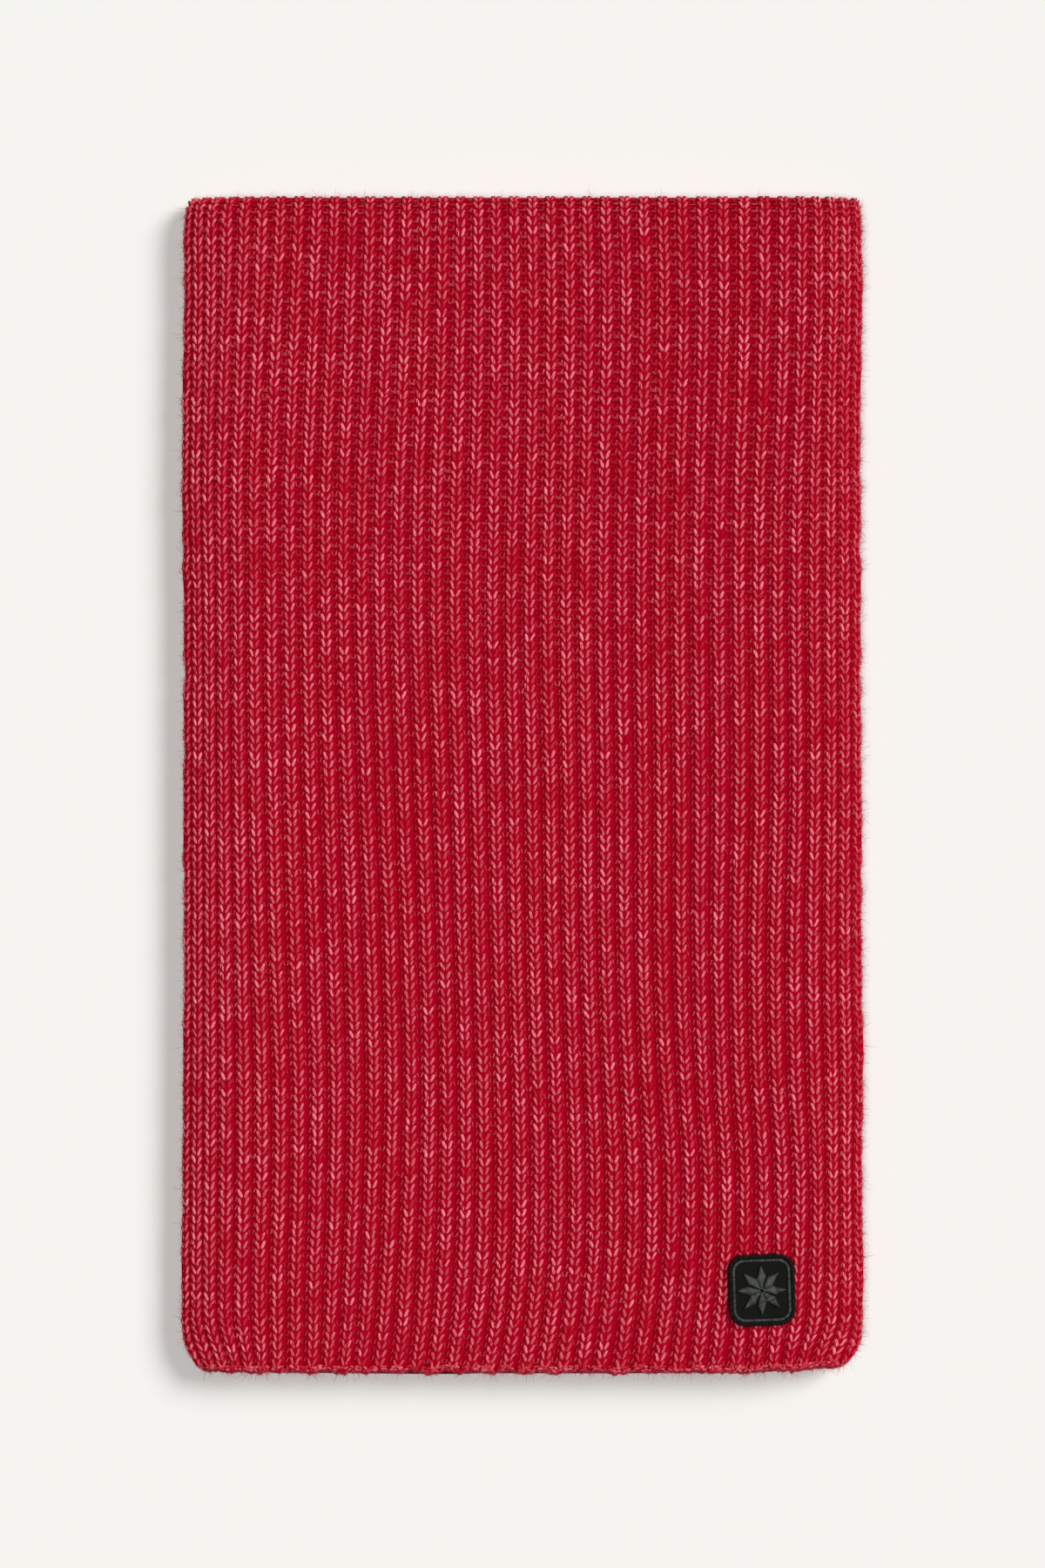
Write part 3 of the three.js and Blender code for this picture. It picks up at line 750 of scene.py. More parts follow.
MEAN_TONE = 0.60
TONE_WAVES = (
    # strength, size, what the place across and the place along are multiplied by, seed
    (0.06, 16 * MM, 1, 0.25, 3),
    (0.07, 9 * MM, 0.12, 1, 4),
    # the broadest waves, partly painted light and shade of the cloth's undulation
    (0.05, 90 * MM, 1, 1, 5),
)
TONE_SPREAD = 0.17
TONE_LIMITS = (0.1, 1.1)
# The right selvedge faces the key lamp, so the pink it loses beyond the left's is painted shade.
LEFT_REDS, RIGHT_REDS_AND_SHADE = 0.1, 0.4  # the share of pink that the knit loses beside each selvedge
REDS_BAND = (3 * MM, 10 * MM)
UNEVEN_WIDTH, UNEVEN_LENGTH, UNEVEN_LEAN = 0.05, 0.04, 0.05
UNEVEN_PLACE = 0.12 * MM
THINNING = 0.3  # how far a leg's thickness follows its width


def stitch_tone(across, along):
    """How pink each stitch is, from 0 to 1."""
    tone = MEAN_TONE
    for strength, size, times_across, times_along, seed in TONE_WAVES:
        tone = tone + strength * slow_waves(across * times_across, along * times_along, size, seed)
    near_selvedge = 1 - smoothstep(ARCH_END - np.abs(across), *REDS_BAND)
    tone = np.clip(tone + rng.normal(0, TONE_SPREAD, tone.shape), *TONE_LIMITS)
    # less pink beside the selvedges; the right's larger loss is painted shade, as that side faces the key
    # lamp
    return tone * (1 - np.where(across < 0, LEFT_REDS, RIGHT_REDS_AND_SHADE) * near_selvedge)


def lay_legs(surface, across, along, lengths, pitch, form, tone, base_height=-LEG_THICKNESS / 2):
    """Places of the points of one form at many stitches of a surface, a third as squeezed as their rib."""
    width = ((2 + pitch / FULL_PITCH) / 3 * rng.normal(1, UNEVEN_WIDTH, across.shape))[:, None]
    length = (lengths / ROW_PITCH * rng.normal(1, UNEVEN_LENGTH, across.shape))[:, None]
    lean = rng.normal(0, UNEVEN_LEAN, across.shape)[:, None]
    shift = rng.normal(0, UNEVEN_PLACE, across.shape)[:, None]
    points = form["points"]
    sideways = points[:, 0] * width + points[:, 1] * lean
    forwards = points[:, 1] * length + shift
    height = points[:, 2] * (1 - THINNING + THINNING * width) + base_height
    places = surface(across[:, None] + sideways, along[:, None] + forwards, height)
    # The outward number is turned with the arch into how far each point faces up, where the yarn's painted
    # highlight and painted shade are laid.
    slope = np.interp(across[:, None] + sideways, ARCH_AT, ARCH_SLOPE) if surface is on_scarf else 0
    upward = form["numbers"]["outward"] * np.cos(slope) + form["numbers"]["sideways"] * np.sin(slope)
    return form, places, {"tone": tone, "outward": np.broadcast_to(upward, height.shape)}


# %% [markdown]
# ## The ribs
#
# The stitches are laid rib by rib, in three pieces so that none is too heavy to keep whole. Each row is a
# little wavy across the scarf, and each rib is a fraction of a row ahead of or behind its neighbour. Where
# the knit is bent round the fold the stitches stand out more, and on its far side they sink again.

# %% Lay the ribs
PARTS = {"rib_stitches_left": (0, 13), "rib_stitches_middle": (13, 26), "rib_stitches_right": (26, 39)}
RIB_OFFSET_SPREAD = 0.35 * MM
RIB_OFFSETS = rng.normal(0, RIB_OFFSET_SPREAD, RIBS)
LAST_ROW_TONE = 0.6
LAST_ROWS = (4 * MM, 10 * MM)
LEFT_LEG_TONE, RIGHT_LEG_TONE = (1.05, 0.2), (0.88, 0.22)  # mean and spread, as shares of the stitch's tone
LEG_LEVEL = -LEG_THICKNESS / 2
FOLD_RISE = 0.6 * MM
FOLD_RISE_IN = (FLAT_LENGTH, FLAT_LENGTH + 0.3 * FOLD_ARC)
FOLD_RISE_OUT = (FLAT_LENGTH + 0.5 * FOLD_ARC, FLAT_LENGTH + 0.75 * FOLD_ARC)
ROW_WAVE = 0.9 * MM
ROW_WAVE_LENGTH = 120 * MM


def row_wave(across, along):
    return ROW_WAVE * slow_waves(across, along / 2, ROW_WAVE_LENGTH, seed=11)


def rib_stitches(name, first, last):
    across, along, lengths = grid_of(CRESTS[first:last], ROWS, ROW_LENGTHS)
    pitch = np.repeat(PITCHES[first:last], len(ROWS))
    along = along + np.repeat(RIB_OFFSETS[first:last], len(ROWS)) + row_wave(across, along)
    tone = stitch_tone(across, along)
    tone = tone * (LAST_ROW_TONE + (1 - LAST_ROW_TONE) * smoothstep(along, *LAST_ROWS))
    left = tone * rng.normal(*LEFT_LEG_TONE, tone.shape)
    right = tone * rng.normal(*RIGHT_LEG_TONE, tone.shape)
    bent = smoothstep(along, *FOLD_RISE_IN) * (1 - smoothstep(along, *FOLD_RISE_OUT))
    level = (LEG_LEVEL + FOLD_RISE * bent)[:, None]
    return lay_copies(name, [
        lay_legs(on_scarf, across, along, lengths, pitch, LEFT_LEG, left, level),
        lay_legs(on_scarf, across, along, lengths, pitch, RIGHT_LEG, right, level),
    ], STITCH_YARN)


stitch_pieces = [rib_stitches(name, *ends) for name, ends in PARTS.items()]

# %% [markdown]
# ## The valleys
#
# Between two ribs the back of the knit shows. There the yarn of each row lies across as a short bar, and
# comes up beside each rib as a small arm: a clear one left of the rib, and a fainter one right of it, which
# is often hidden. All are modelled like a leg, but smaller, and are half sunk in the ground. Towards the
# fold the knit is stretched over the layers below, so its bars lie higher and show more, most of all round
# the fold itself.

# %% Lay the arms and bars in the valleys
ARM_LENGTH = 3.4 * MM
ARM_WIDTH = 1.25 * MM
ARM_THICKNESS = 1.3 * MM
ARM_DIVE = 0.7 * MM
ARM_SWING = 1.1 * MM
ARM_DIP = 1.6  # 2 would make an arm highest at its middle, and less puts its highest place further along
ARM_SIDES, ARM_RINGS = 4, 3
ARM_LEVEL = -1.25 * MM
ARM_REACH = 0.75 * MM
ARM_AHEAD = 1.3 * MM
FAINT_ARM_REACH = 1.0 * MM
FAINT_ARM_LEVEL = -1.45 * MM
FAINT_ARM_SHARE = 0.6
FAINT_ARM_TONE = 0.6
ARM_TONES = (0.3, 1.05)
BAR_TONES = (0.3, 1.3)
SHUT_BAR_TONE, OPEN_BAR_TONE = 0.05, 0.45
OPEN_PART = (0.45 * FLAT_LENGTH, 0.85 * FLAT_LENGTH)  # over this stretch the valleys open
BAR_SPAN = 4.6 * MM
BAR_WIDTH = 2.9 * MM
BAR_THICKNESS = 1.3 * MM
BAR_LEVEL = -1.9 * MM
BAR_RISE = 0.5 * MM  # how much higher the bars lie where the knit is stretched
BAR_FOLD_RISE = 0.45 * MM  # how much higher still round the fold, where the ribs are pulled flat
BAR_AHEAD = 0.6 * MM


def arm_place(share):
    return ARM_SWING * (share - 0.5), -ARM_DIVE * abs(1 - ARM_DIP * share) ** 2


def straight_place(share):
    return 0.0, 0.0


ARM = bent_grain(ARM_LENGTH, ARM_WIDTH, ARM_THICKNESS, ARM_SIDES, ARM_RINGS, arm_place)
FAINT_ARM = mirrored(ARM)
BAR = bent_grain(BAR_SPAN, BAR_WIDTH, BAR_THICKNESS, sides=3, rings=3, place=straight_place)
BAR = quarter_turned(BAR)


def valley_yarns(name, first, last):
    across, along, lengths = grid_of(VALLEYS[first:last], ROWS, ROW_LENGTHS)
    pitch = np.repeat(np.diff(CRESTS)[first:last], len(ROWS))
    along = along + row_wave(across, along)
    open_share = smoothstep(along, *OPEN_PART)
    tone = stitch_tone(across, along)
    arm_tone = tone * rng.uniform(*ARM_TONES, across.shape)
    bar_tone = tone * (SHUT_BAR_TONE + OPEN_BAR_TONE * open_share) * rng.uniform(*BAR_TONES, across.shape)
    bent = smoothstep(along, FLAT_LENGTH - ROW_PITCH, FLAT_LENGTH + 2 * ROW_PITCH)
    bar_level = (BAR_LEVEL + BAR_RISE * open_share + BAR_FOLD_RISE * bent)[:, None]
    squeeze = pitch / FULL_PITCH
    shown = rng.uniform(0, 1, across.shape) < FAINT_ARM_SHARE
    faint_across = across - FAINT_ARM_REACH * squeeze
    faint = [values[shown] for values in (faint_across, along + ARM_AHEAD, lengths, pitch)]
    # the valleys wear the darker yarn, as painted shade
    return lay_copies(name, [
        lay_legs(on_scarf, across + ARM_REACH * squeeze, along + ARM_AHEAD, lengths, pitch,
                 ARM, arm_tone, ARM_LEVEL),
        lay_legs(on_scarf, *faint, FAINT_ARM, FAINT_ARM_TONE * arm_tone[shown], FAINT_ARM_LEVEL),
        lay_legs(on_scarf, across, along + BAR_AHEAD, lengths, pitch, BAR, bar_tone, bar_level),
    ], VALLEY_YARN_WITH_PAINTED_SHADE)


valley_pieces = [valley_yarns("valley_yarns_left", 0, 19), valley_yarns("valley_yarns_right", 19, 38)]

# %% [markdown]
# ## The hidden layers
#
# Under the top layer lie three more. They show only at their edges, so they share one ground: level by
# level, an outline seen from above, which bulges at each layer and draws in between two layers. At the
# front the lower two layers join in a fold, and at the back the upper two turn inside the top layer's.

# %% The ground of the hidden layers
HIDDEN_LEVELS = (
    # share of the stack, side inset, front inset, scallop of the ribs, whether it reaches into the fold
    (0, 3.4, 6.0, 0, False),
    (0.05, 2.3, 4.0, 0.5, False),
    (0.13, 2.0, 2.9, 0.9, False),
    (0.2, 2.4, 2.5, 1.1, False),
    (0.248, 4.2, 2.4, 1.1, False),
    (0.252, 4.2, 2.4, 1.1, True),
    (0.31, 3.1, 2.6, 1.0, True),
    (0.38, 2.6, 3.0, 0.8, True),
    (0.45, 3.1, 3.6, 0.4, True),
    (0.5, 4.4, 5.2, 0.1, True),
    (0.56, 2.0, 2.6, 0.1, True),
    (0.63, 1.4, 2.0, 0.1, True),
    (0.7, 1.9, 2.4, 0.1, True),
    (0.743, 3.6, 3.4, 0, True),
)
TOP_INSETS = np.array([10, 18, 32]) * MM
HIDDEN_FOLD_CORNER = 2.5 * MM
HIDDEN_SINK = 0.5 * MM
SIDE_STEP = 9 * MM
BACK_PLACES = 41


def hidden_outline(share, side, end, scallop, in_fold, extra=0.0):
    """One outline of the hidden layers at a level, drawn in by extra metres."""
    half = HALF_WIDTH - side - extra
    front = FRONT_Y + end + extra
    crest_x = np.interp(CRESTS, ARCH_AT, ARCH_X) * half / HALF_WIDTH
    steps = np.arange(2 * RIBS - 1) / 2
    front_x = np.interp(steps, np.arange(RIBS), crest_x)
    front_y = front - scallop / 2 * np.cos(math.tau * steps)
    side_y = np.linspace(front, FOLD_Y - EDGE_ROLL, int(FLAT_LENGTH / SIDE_STEP))[1:]
    back_x = np.linspace(half, -half, BACK_PLACES)
    back_y = np.full(back_x.shape, FOLD_Y - TUCK - SEAM_GAP - extra)
    if in_fold:
        radius = stack_height(back_x) * LAYER - SEAM_GAP
        rise = (share - 0.5) * stack_height(back_x)
        drawn_in = HIDDEN_FOLD_CORNER * smoothstep(np.abs(back_x), HALF_WIDTH - EDGE_ROLL, HALF_WIDTH)
        back_y = FOLD_Y - extra - drawn_in + fold_reach(back_x) * np.sqrt(np.maximum(0, radius**2 - rise**2))
    x = np.concatenate([front_x, np.full(side_y.shape, half), back_x, np.full(side_y.shape, -half)])
    y = np.concatenate([front_y, side_y, back_y, side_y[::-1]])
    z = share * stack_height(x) - (SEAM_GAP if extra else 0)
    return np.stack([drawn_across(x, y), y, np.maximum(z, 0)], axis=1)


def ground_of_hidden_layers():
    rings = []
    for share, side, end, scallop, in_fold in HIDDEN_LEVELS:
        sunk = HIDDEN_SINK if share else 0
        rings.append(hidden_outline(share, side * MM + sunk, end * MM + sunk, scallop * MM, in_fold))
    share, side, end, _, in_fold = HIDDEN_LEVELS[-1]
    for inset in TOP_INSETS:
        rings.append(hidden_outline(share, side * MM, end * MM, 0, in_fold, inset - side * MM))
    return closed_shell("hidden_ground", np.array(rings), GROUND_WITH_PAINTED_SHADE)


hidden_ground = ground_of_hidden_layers()

# %% [markdown]
# ## The edges of the hidden layers
#
# From the side each hidden layer shows a narrow column of Vs along its selvedge, and from the front the
# ribs turn round the middle fold. The same legs are laid there, on surfaces of their own.

# %% Lay the edges of the hidden layers
EDGE_LAYERS = ((0.125, 2.0), (0.375, 2.6), (0.625, 1.4))  # middle as a share of the stack, side inset in mm
EDGE_WIDTH = 0.5  # of a full rib's width
EDGE_TONE = 0.8
EDGE_BULGE = 0.8 * MM
EDGE_END = 2 * MM
MIDDLE_FOLD_INSET = 0.9 * MM
MIDDLE_FOLD_NARROWING = 3 * MM
MIDDLE_FOLD_TURNS = HEIGHT * LAYER * np.radians([38, 82, 126])


def selvedge_surface(side, share, inset):
    """Places on the selvedge of one hidden layer: across is upwards, height is outwards."""
    edge = HALF_WIDTH - inset * MM

    def place(across, along, height):
        across, along, height = np.broadcast_arrays(across, along, height)
        half_layer = SELVEDGE_HEIGHT * LAYER / 2
        roll = np.clip(across / half_layer, -1, 1)
        x = side * (edge + height - EDGE_BULGE * roll**2)
        z = np.maximum(share * stack_height(np.full(x.shape, edge)) + across * side, 0)
        return np.stack([drawn_across(x, FRONT_Y + along), FRONT_Y + along, z], axis=-1)

    return place


def middle_fold_surface(across, turn, height):
    """Places round the fold that joins the lower two layers: turn runs from its top to its underside."""
    across, turn, height = np.broadcast_arrays(across, turn, height)
    x = np.interp(across, ARCH_AT, ARCH_X) * (1 - MIDDLE_FOLD_NARROWING / HALF_WIDTH)
    radius = stack_height(x) * LAYER
    angle = turn / (HEIGHT * LAYER)
    reach = radius + height
    y = FRONT_Y + MIDDLE_FOLD_INSET + radius - reach * np.sin(angle)
    z = radius + reach * np.cos(angle)
    return np.stack([drawn_across(x, np.maximum(y, FRONT_Y)), y, np.maximum(z, 0)], axis=-1)


EDGE_RIGHT_LEG = bent_grain(LEG_LENGTH, LEG_WIDTH, LEG_THICKNESS, ARM_SIDES, ARM_RINGS, leg_place)
EDGE_LEFT_LEG = mirrored(EDGE_RIGHT_LEG)


def edge_legs(surface, across, along, pitch, tone):
    """Both legs of Vs on one of these surfaces, a little redder than the Vs on top."""
    lengths = np.full(along.shape, ROW_PITCH)
    return [lay_legs(surface, across, along, lengths, pitch, form, EDGE_TONE * tone)
            for form in (EDGE_LEFT_LEG, EDGE_RIGHT_LEG)]


def hidden_edges():
    batches = []
    flat_rows = ROWS[ROWS < FLAT_LENGTH - EDGE_END]
    for share, inset in EDGE_LAYERS:
        for side in (-1, 1):
            along = flat_rows + rng.uniform(0, ROW_PITCH)
            across = np.zeros(along.shape)
            pitch = np.full(along.shape, FULL_PITCH * EDGE_WIDTH)
            tone = stitch_tone(across + side * HALF_WIDTH, along)
            batches += edge_legs(selvedge_surface(side, share, inset), across, along, pitch, tone)
    across, turn, _ = grid_of(CRESTS[1:-1], MIDDLE_FOLD_TURNS, ROW_PITCH)
    pitch = np.repeat(PITCHES[1:-1], len(MIDDLE_FOLD_TURNS))
    batches += edge_legs(middle_fold_surface, across, turn, pitch, stitch_tone(across, turn))
    # These edges wear the darker valley yarn, as painted shade.
    return lay_copies("hidden_edge_stitches", batches, VALLEY_YARN_WITH_PAINTED_SHADE)


edge_stitches = hidden_edges()

# %% [markdown]
# ## The bound-off ends
#
# The last row of a knit is bound off: each stitch is drawn through its neighbour, which leaves a small loop
# that lies along the edge. Brushed and pressed, these loops no longer look like a chain. Short soft ticks
# lie this way and that on the rounded end of the top layer and of the layer below it.

# %% Lay the loops of the bound-off ends
LOOP_LENGTH = 3.1 * MM
LOOP_WIDTH = 1.5 * MM
LOOP_THICKNESS = 1.2 * MM
LOOP_PITCH = 2.1 * MM
LOOP_TILT = 0.35
LOOP_DIVE = 0.5 * MM
LOOP_SIDES, LOOP_RINGS = 6, 4
UNEVEN_LOOP_PLACE, UNEVEN_LOOP_DROP = 0.5 * MM, 0.15 * MM
UNEVEN_LOOP_SIZE = 0.15
PINKEST_LOOP = 0.75
LOOP_REACH = ARCH_END - 1 * MM
END_LOOPS = ((0.5, 1.2), (1.6, 0.8), (2.8, 0.95))  # distance from the edge and depth under the crests, in mm
SECOND_END_REACH = HALF_WIDTH - 12 * MM
SECOND_END_INSET = 1.4 * MM
SECOND_END_LEVEL = 0.625  # of the stack's height, the middle of the second layer


def second_end_surface(across, along, height):
    """Places on the end of the layer below, which is rounded and faces the front."""
    across, along, height = np.broadcast_arrays(across, along, height)
    y = FRONT_Y + SECOND_END_INSET - height
    z = stack_height(across) * SECOND_END_LEVEL + along
    return np.stack([drawn_across(across, np.maximum(y, FRONT_Y)), y, z], axis=-1)


def row_of_loops(surface, reach, from_edge, depth, form):
    """Loops that lie along an edge, each tilted and moved a little in its own way."""
    across = np.arange(-reach, reach, LOOP_PITCH)
    across = (across + rng.normal(0, UNEVEN_LOOP_PLACE, across.shape))[:, None]
    tilt = rng.normal(0, LOOP_TILT, across.shape)
    size = rng.normal(1, UNEVEN_LOOP_SIZE, across.shape)
    points = form["points"]
    sideways = (points[:, 0] * np.cos(tilt) - points[:, 1] * np.sin(tilt)) * size
    forwards = (points[:, 0] * np.sin(tilt) + points[:, 1] * np.cos(tilt)) * size
    drop = rng.normal(0, UNEVEN_LOOP_DROP, across.shape)
    places = surface(across + sideways, from_edge + forwards, points[:, 2] - depth + drop)
    return form, places, {"tone": rng.uniform(0, PINKEST_LOOP, len(across))}


def loop_place(share):
    return 0.0, -dive(share, LOOP_DIVE, 2)


def bound_off_loops():
    loop = bent_grain(LOOP_LENGTH, LOOP_WIDTH, LOOP_THICKNESS, LOOP_SIDES, LOOP_RINGS, loop_place)
    loop = quarter_turned(loop)
    batches = [row_of_loops(on_scarf, LOOP_REACH, place * MM, depth * MM, loop)
               for place, depth in END_LOOPS]
    batches.append(row_of_loops(second_end_surface, SECOND_END_REACH, 0.0, LOOP_THICKNESS / 2, loop))
    return lay_copies("bound_off_loops", batches, STITCH_YARN)


loops = bound_off_loops()

# %% [markdown]
# ## The patch
#
# Near the free end's right corner sits a small patch of black felt with an overlocked rim. Its embroidery,
# in charcoal satin stitch, is a narrow frame inside the rim and a plain eight-pointed star. The felt is
# modelled from a cube: its corners are rounded, and the face inside the rim is pressed in a little.

# %% Sizes of the patch
PATCH_LOW, PATCH_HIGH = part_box("patch_base")
PATCH_X = 97.8 * MM
PATCH_Y = -207 * MM
PATCH_WIDTH = 26.8 * MM
PATCH_LENGTH = 28.6 * MM
PATCH_CORNER = 6.5 * MM
PATCH_TILT = math.radians(2)
PATCH_GROUND = 1.0 * MM
PATCH_BOTTOM = PATCH_LOW[2]
PATCH_TOP = PATCH_BOTTOM + PATCH_GROUND
CORNER_SEGMENTS = 8
FELT_INSET = 0.25 * MM  # the felt ends this far inside the threads that wrap its edge
FELT_PRESSED = 0.15 * MM
FACES_UP = 0.9
RIM_WIDTH = 1.35 * MM
FRAME_WIDTH = 1.5 * MM
STAR_SIDE = 5.6 * MM
print(f"the patch lies {PATCH_BOTTOM / MM:.1f} mm above the table")


# Pressed wool felt has a short tangled nap, and so almost no highlight. Rayon thread is smooth and satin.
FELT = mottled_cloth("black_wool_felt", "#0A0A09", "#1A1B19", mottle_size=0.5 * MM, relief=0.15 * MM,
                     sheen=0.1)
RIM_THREAD = toned_material("black_overlock_thread", "#0B0B0A", "#1A1A18",
                            Roughness=0.7, IOR=1.5, Specular_IOR_Level=0.1)
# Each satin thread takes its own tone between these greys; the lighter threads stand for the satin's glints,
# as painted highlight.
SATIN_THREAD = toned_material("charcoal_rayon_thread", "#232522", "#53564F",
                              Roughness=0.5, IOR=1.5, Specular_IOR_Level=0.3)

# %% Model the felt of the patch
def patch_felt():
    deselect_all()
    bpy.ops.mesh.primitive_cube_add(size=1)
    felt = bpy.context.object
    felt.name = "patch_felt"
    bpy.ops.object.mode_set(mode="EDIT")
    size = (PATCH_WIDTH - 2 * FELT_INSET, PATCH_LENGTH - 2 * FELT_INSET, PATCH_GROUND)
    bpy.ops.transform.resize(value=size, center_override=(0, 0, 0))
    bpy.ops.mesh.select_mode(type="EDGE")
    bpy.ops.mesh.select_all(action="DESELECT")
    bpy.ops.object.mode_set(mode="OBJECT")
    for edge in felt.data.edges:
        a, b = (felt.data.vertices[k].co for k in edge.vertices)
        edge.select = abs(a.z - b.z) > PATCH_GROUND / 2
    bpy.ops.object.mode_set(mode="EDIT")
    bpy.ops.mesh.bevel(offset=PATCH_CORNER, segments=CORNER_SEGMENTS, affect="EDGES")
    bpy.ops.mesh.select_all(action="DESELECT")
    bpy.ops.object.mode_set(mode="OBJECT")
    for face in felt.data.polygons:
        face.select = face.normal.z > FACES_UP
    bpy.ops.object.mode_set(mode="EDIT")
    bpy.ops.mesh.select_mode(type="FACE")
    bpy.ops.mesh.inset(thickness=RIM_WIDTH)
    bpy.ops.transform.translate(value=(0, 0, -FELT_PRESSED))
    bpy.ops.mesh.select_all(action="SELECT")
    bpy.ops.transform.rotate(value=-PATCH_TILT, orient_axis="Z", center_override=(0, 0, 0))
    bpy.ops.transform.translate(value=(PATCH_X, PATCH_Y, PATCH_BOTTOM + PATCH_GROUND / 2))
    bpy.ops.object.mode_set(mode="OBJECT")
    felt.data.materials.append(FELT)
    ALL_PIECES.append(felt)
    print(f"patch_felt: {len(felt.data.polygons)} faces")
    return felt


felt = patch_felt()

# %% [markdown]
# ## Threads on the patch
#
# An overlocked rim is a row of short threads wrapped over the edge, side by side. Satin stitch fills a
# shape with parallel threads. All are slim grains: bent over the edge for the rim, slightly raised in the
# middle for the frame and the star. The star's eight lozenges each turn their threads another way, and so
# catch other light.

# %% Lay the threads of the rim
RIM_THREAD_PITCH = 0.62 * MM
RIM_THREAD_WIDTH = 0.66 * MM
RIM_THREAD_THICKNESS = 0.5 * MM
RIM_WRAP = 1.1 * MM
RIM_WRAP_BEND = 2.5
RIM_OVERHANG = 0.1 * MM
RIM_LIFT = 0.25 * MM
RIM_SLANT, UNEVEN_SLANT = 0.15, 0.04


def rim_place(share):
    return 0.0, -dive(share, RIM_WRAP, RIM_WRAP_BEND)


def patch_outline_at(distance):
    """A place on the patch's rounded outline and its outward direction, at a distance round it."""
    straight = np.array([PATCH_LENGTH, PATCH_WIDTH, PATCH_LENGTH, PATCH_WIDTH]) - 2 * PATCH_CORNER
    arc = PATCH_CORNER * math.pi / 2
    starts = np.append(0, np.cumsum(straight + arc))
    side = np.clip(np.searchsorted(starts, distance, side="right") - 1, 0, 3)
    rest = distance - starts[side]
    run = np.minimum(rest, straight[side])
    turn = np.maximum(rest - straight[side], 0) / PATCH_CORNER
    facing = side * math.pi / 2 + turn
    corner_x = np.array([1, -1, -1, 1])[side] * (PATCH_WIDTH / 2 - PATCH_CORNER)
    corner_y = np.array([1, 1, -1, -1])[side] * (PATCH_LENGTH / 2 - PATCH_CORNER)
    before = straight[side] - run
    x = corner_x + PATCH_CORNER * np.cos(facing) + before * np.sin(side * math.pi / 2)
    y = corner_y + PATCH_CORNER * np.sin(facing) - before * np.cos(side * math.pi / 2)
    return x, y, facing


def patch_girth():
    return 2 * (PATCH_WIDTH + PATCH_LENGTH - 4 * PATCH_CORNER) + math.tau * PATCH_CORNER


def on_patch(x, y, z):
    """Turns a place on the patch into a place in space."""
    x, y, z = np.broadcast_arrays(x, y, z)
    cos, sin = math.cos(PATCH_TILT), math.sin(PATCH_TILT)
    return np.stack([PATCH_X + x * cos - y * sin, PATCH_Y + x * sin + y * cos, z], axis=-1)


def threads_round(thread, distance, inset, slant, level, lightest):
    """Threads across the patch's outline at distances round it, moved inwards by inset."""
    x, y, facing = (part[:, None] for part in patch_outline_at(distance))
    points = thread["points"]
    out = points[:, 1] - inset
    sideways = points[:, 0] + points[:, 1] * slant
    places = on_patch(x + out * np.cos(facing) - sideways * np.sin(facing),
                      y + out * np.sin(facing) + sideways * np.cos(facing), level + points[:, 2])
    return thread, places, {"tone": rng.uniform(0, lightest, distance.shape)}


def overlocked_rim():
    thread = bent_grain(RIM_WIDTH + RIM_WRAP, RIM_THREAD_WIDTH, RIM_THREAD_THICKNESS,
                        sides=6, rings=6, place=rim_place)
    distance = np.arange(0, patch_girth(), RIM_THREAD_PITCH)
    slant = rng.normal(RIM_SLANT, UNEVEN_SLANT, distance.shape)[:, None]
    inset = RIM_WIDTH / 2 - RIM_OVERHANG
    batch = threads_round(thread, distance, inset, slant, PATCH_TOP + RIM_LIFT, 1)
    return lay_copies("patch_overlock", [batch], RIM_THREAD)


overlock = overlocked_rim()

# %% Lay the satin threads of the frame and the star
SATIN_PITCH = 0.46 * MM
SATIN_WIDTH = 1.2 * SATIN_PITCH
SATIN_THICKNESS = 0.42 * MM
SATIN_RISE = 0.45 * MM
STAR_POINTS = 8
STAR_LIFT = 0.35 * MM
STAR_SLANT = 0.35
FRAME_SLANT = 0.3
LIGHTEST_FRAME_THREAD = 0.8


def satin_thread_place(share):
    return 0.0, SATIN_RISE - dive(share, SATIN_RISE, 2)


def satin_frame():
    """Threads across a narrow band that follows the rim."""
    thread = bent_grain(FRAME_WIDTH, SATIN_WIDTH, SATIN_THICKNESS,
                        sides=4, rings=4, place=satin_thread_place)
    distance = np.arange(0, patch_girth(), SATIN_PITCH)
    inset = RIM_WIDTH + FRAME_WIDTH / 2
    return threads_round(thread, distance, inset, FRAME_SLANT, PATCH_TOP, LIGHTEST_FRAME_THREAD)


def satin_star():
    thread = bent_grain(1.0, SATIN_WIDTH, SATIN_THICKNESS, sides=6, rings=5, place=satin_thread_place)
    half_angle = math.pi / STAR_POINTS
    long_half = STAR_SIDE * math.cos(half_angle)
    wide_half = STAR_SIDE * math.sin(half_angle)
    along = np.arange(-long_half + SATIN_PITCH, long_half, SATIN_PITCH)
    span = 2 * wide_half * (1 - np.abs(along) / long_half)
    along, span = along[span > SATIN_PITCH], span[span > SATIN_PITCH]
    points = thread["points"]
    batches = [satin_frame()]
    for k in range(STAR_POINTS):
        facing = k * math.tau / STAR_POINTS
        slant = STAR_SLANT if k % 2 else -STAR_SLANT
        across = points[:, 1] * span[:, None]
        forwards = long_half + along[:, None] + points[:, 0] + across * slant
        places = on_patch(forwards * math.cos(facing) - across * math.sin(facing),
                          forwards * math.sin(facing) + across * math.cos(facing),
                          PATCH_TOP + STAR_LIFT + points[:, 2])
        batches.append((thread, places, {"tone": rng.uniform(0, 1, along.shape)}))
    return lay_copies("patch_star_satin", batches, SATIN_THREAD)


star = satin_star()

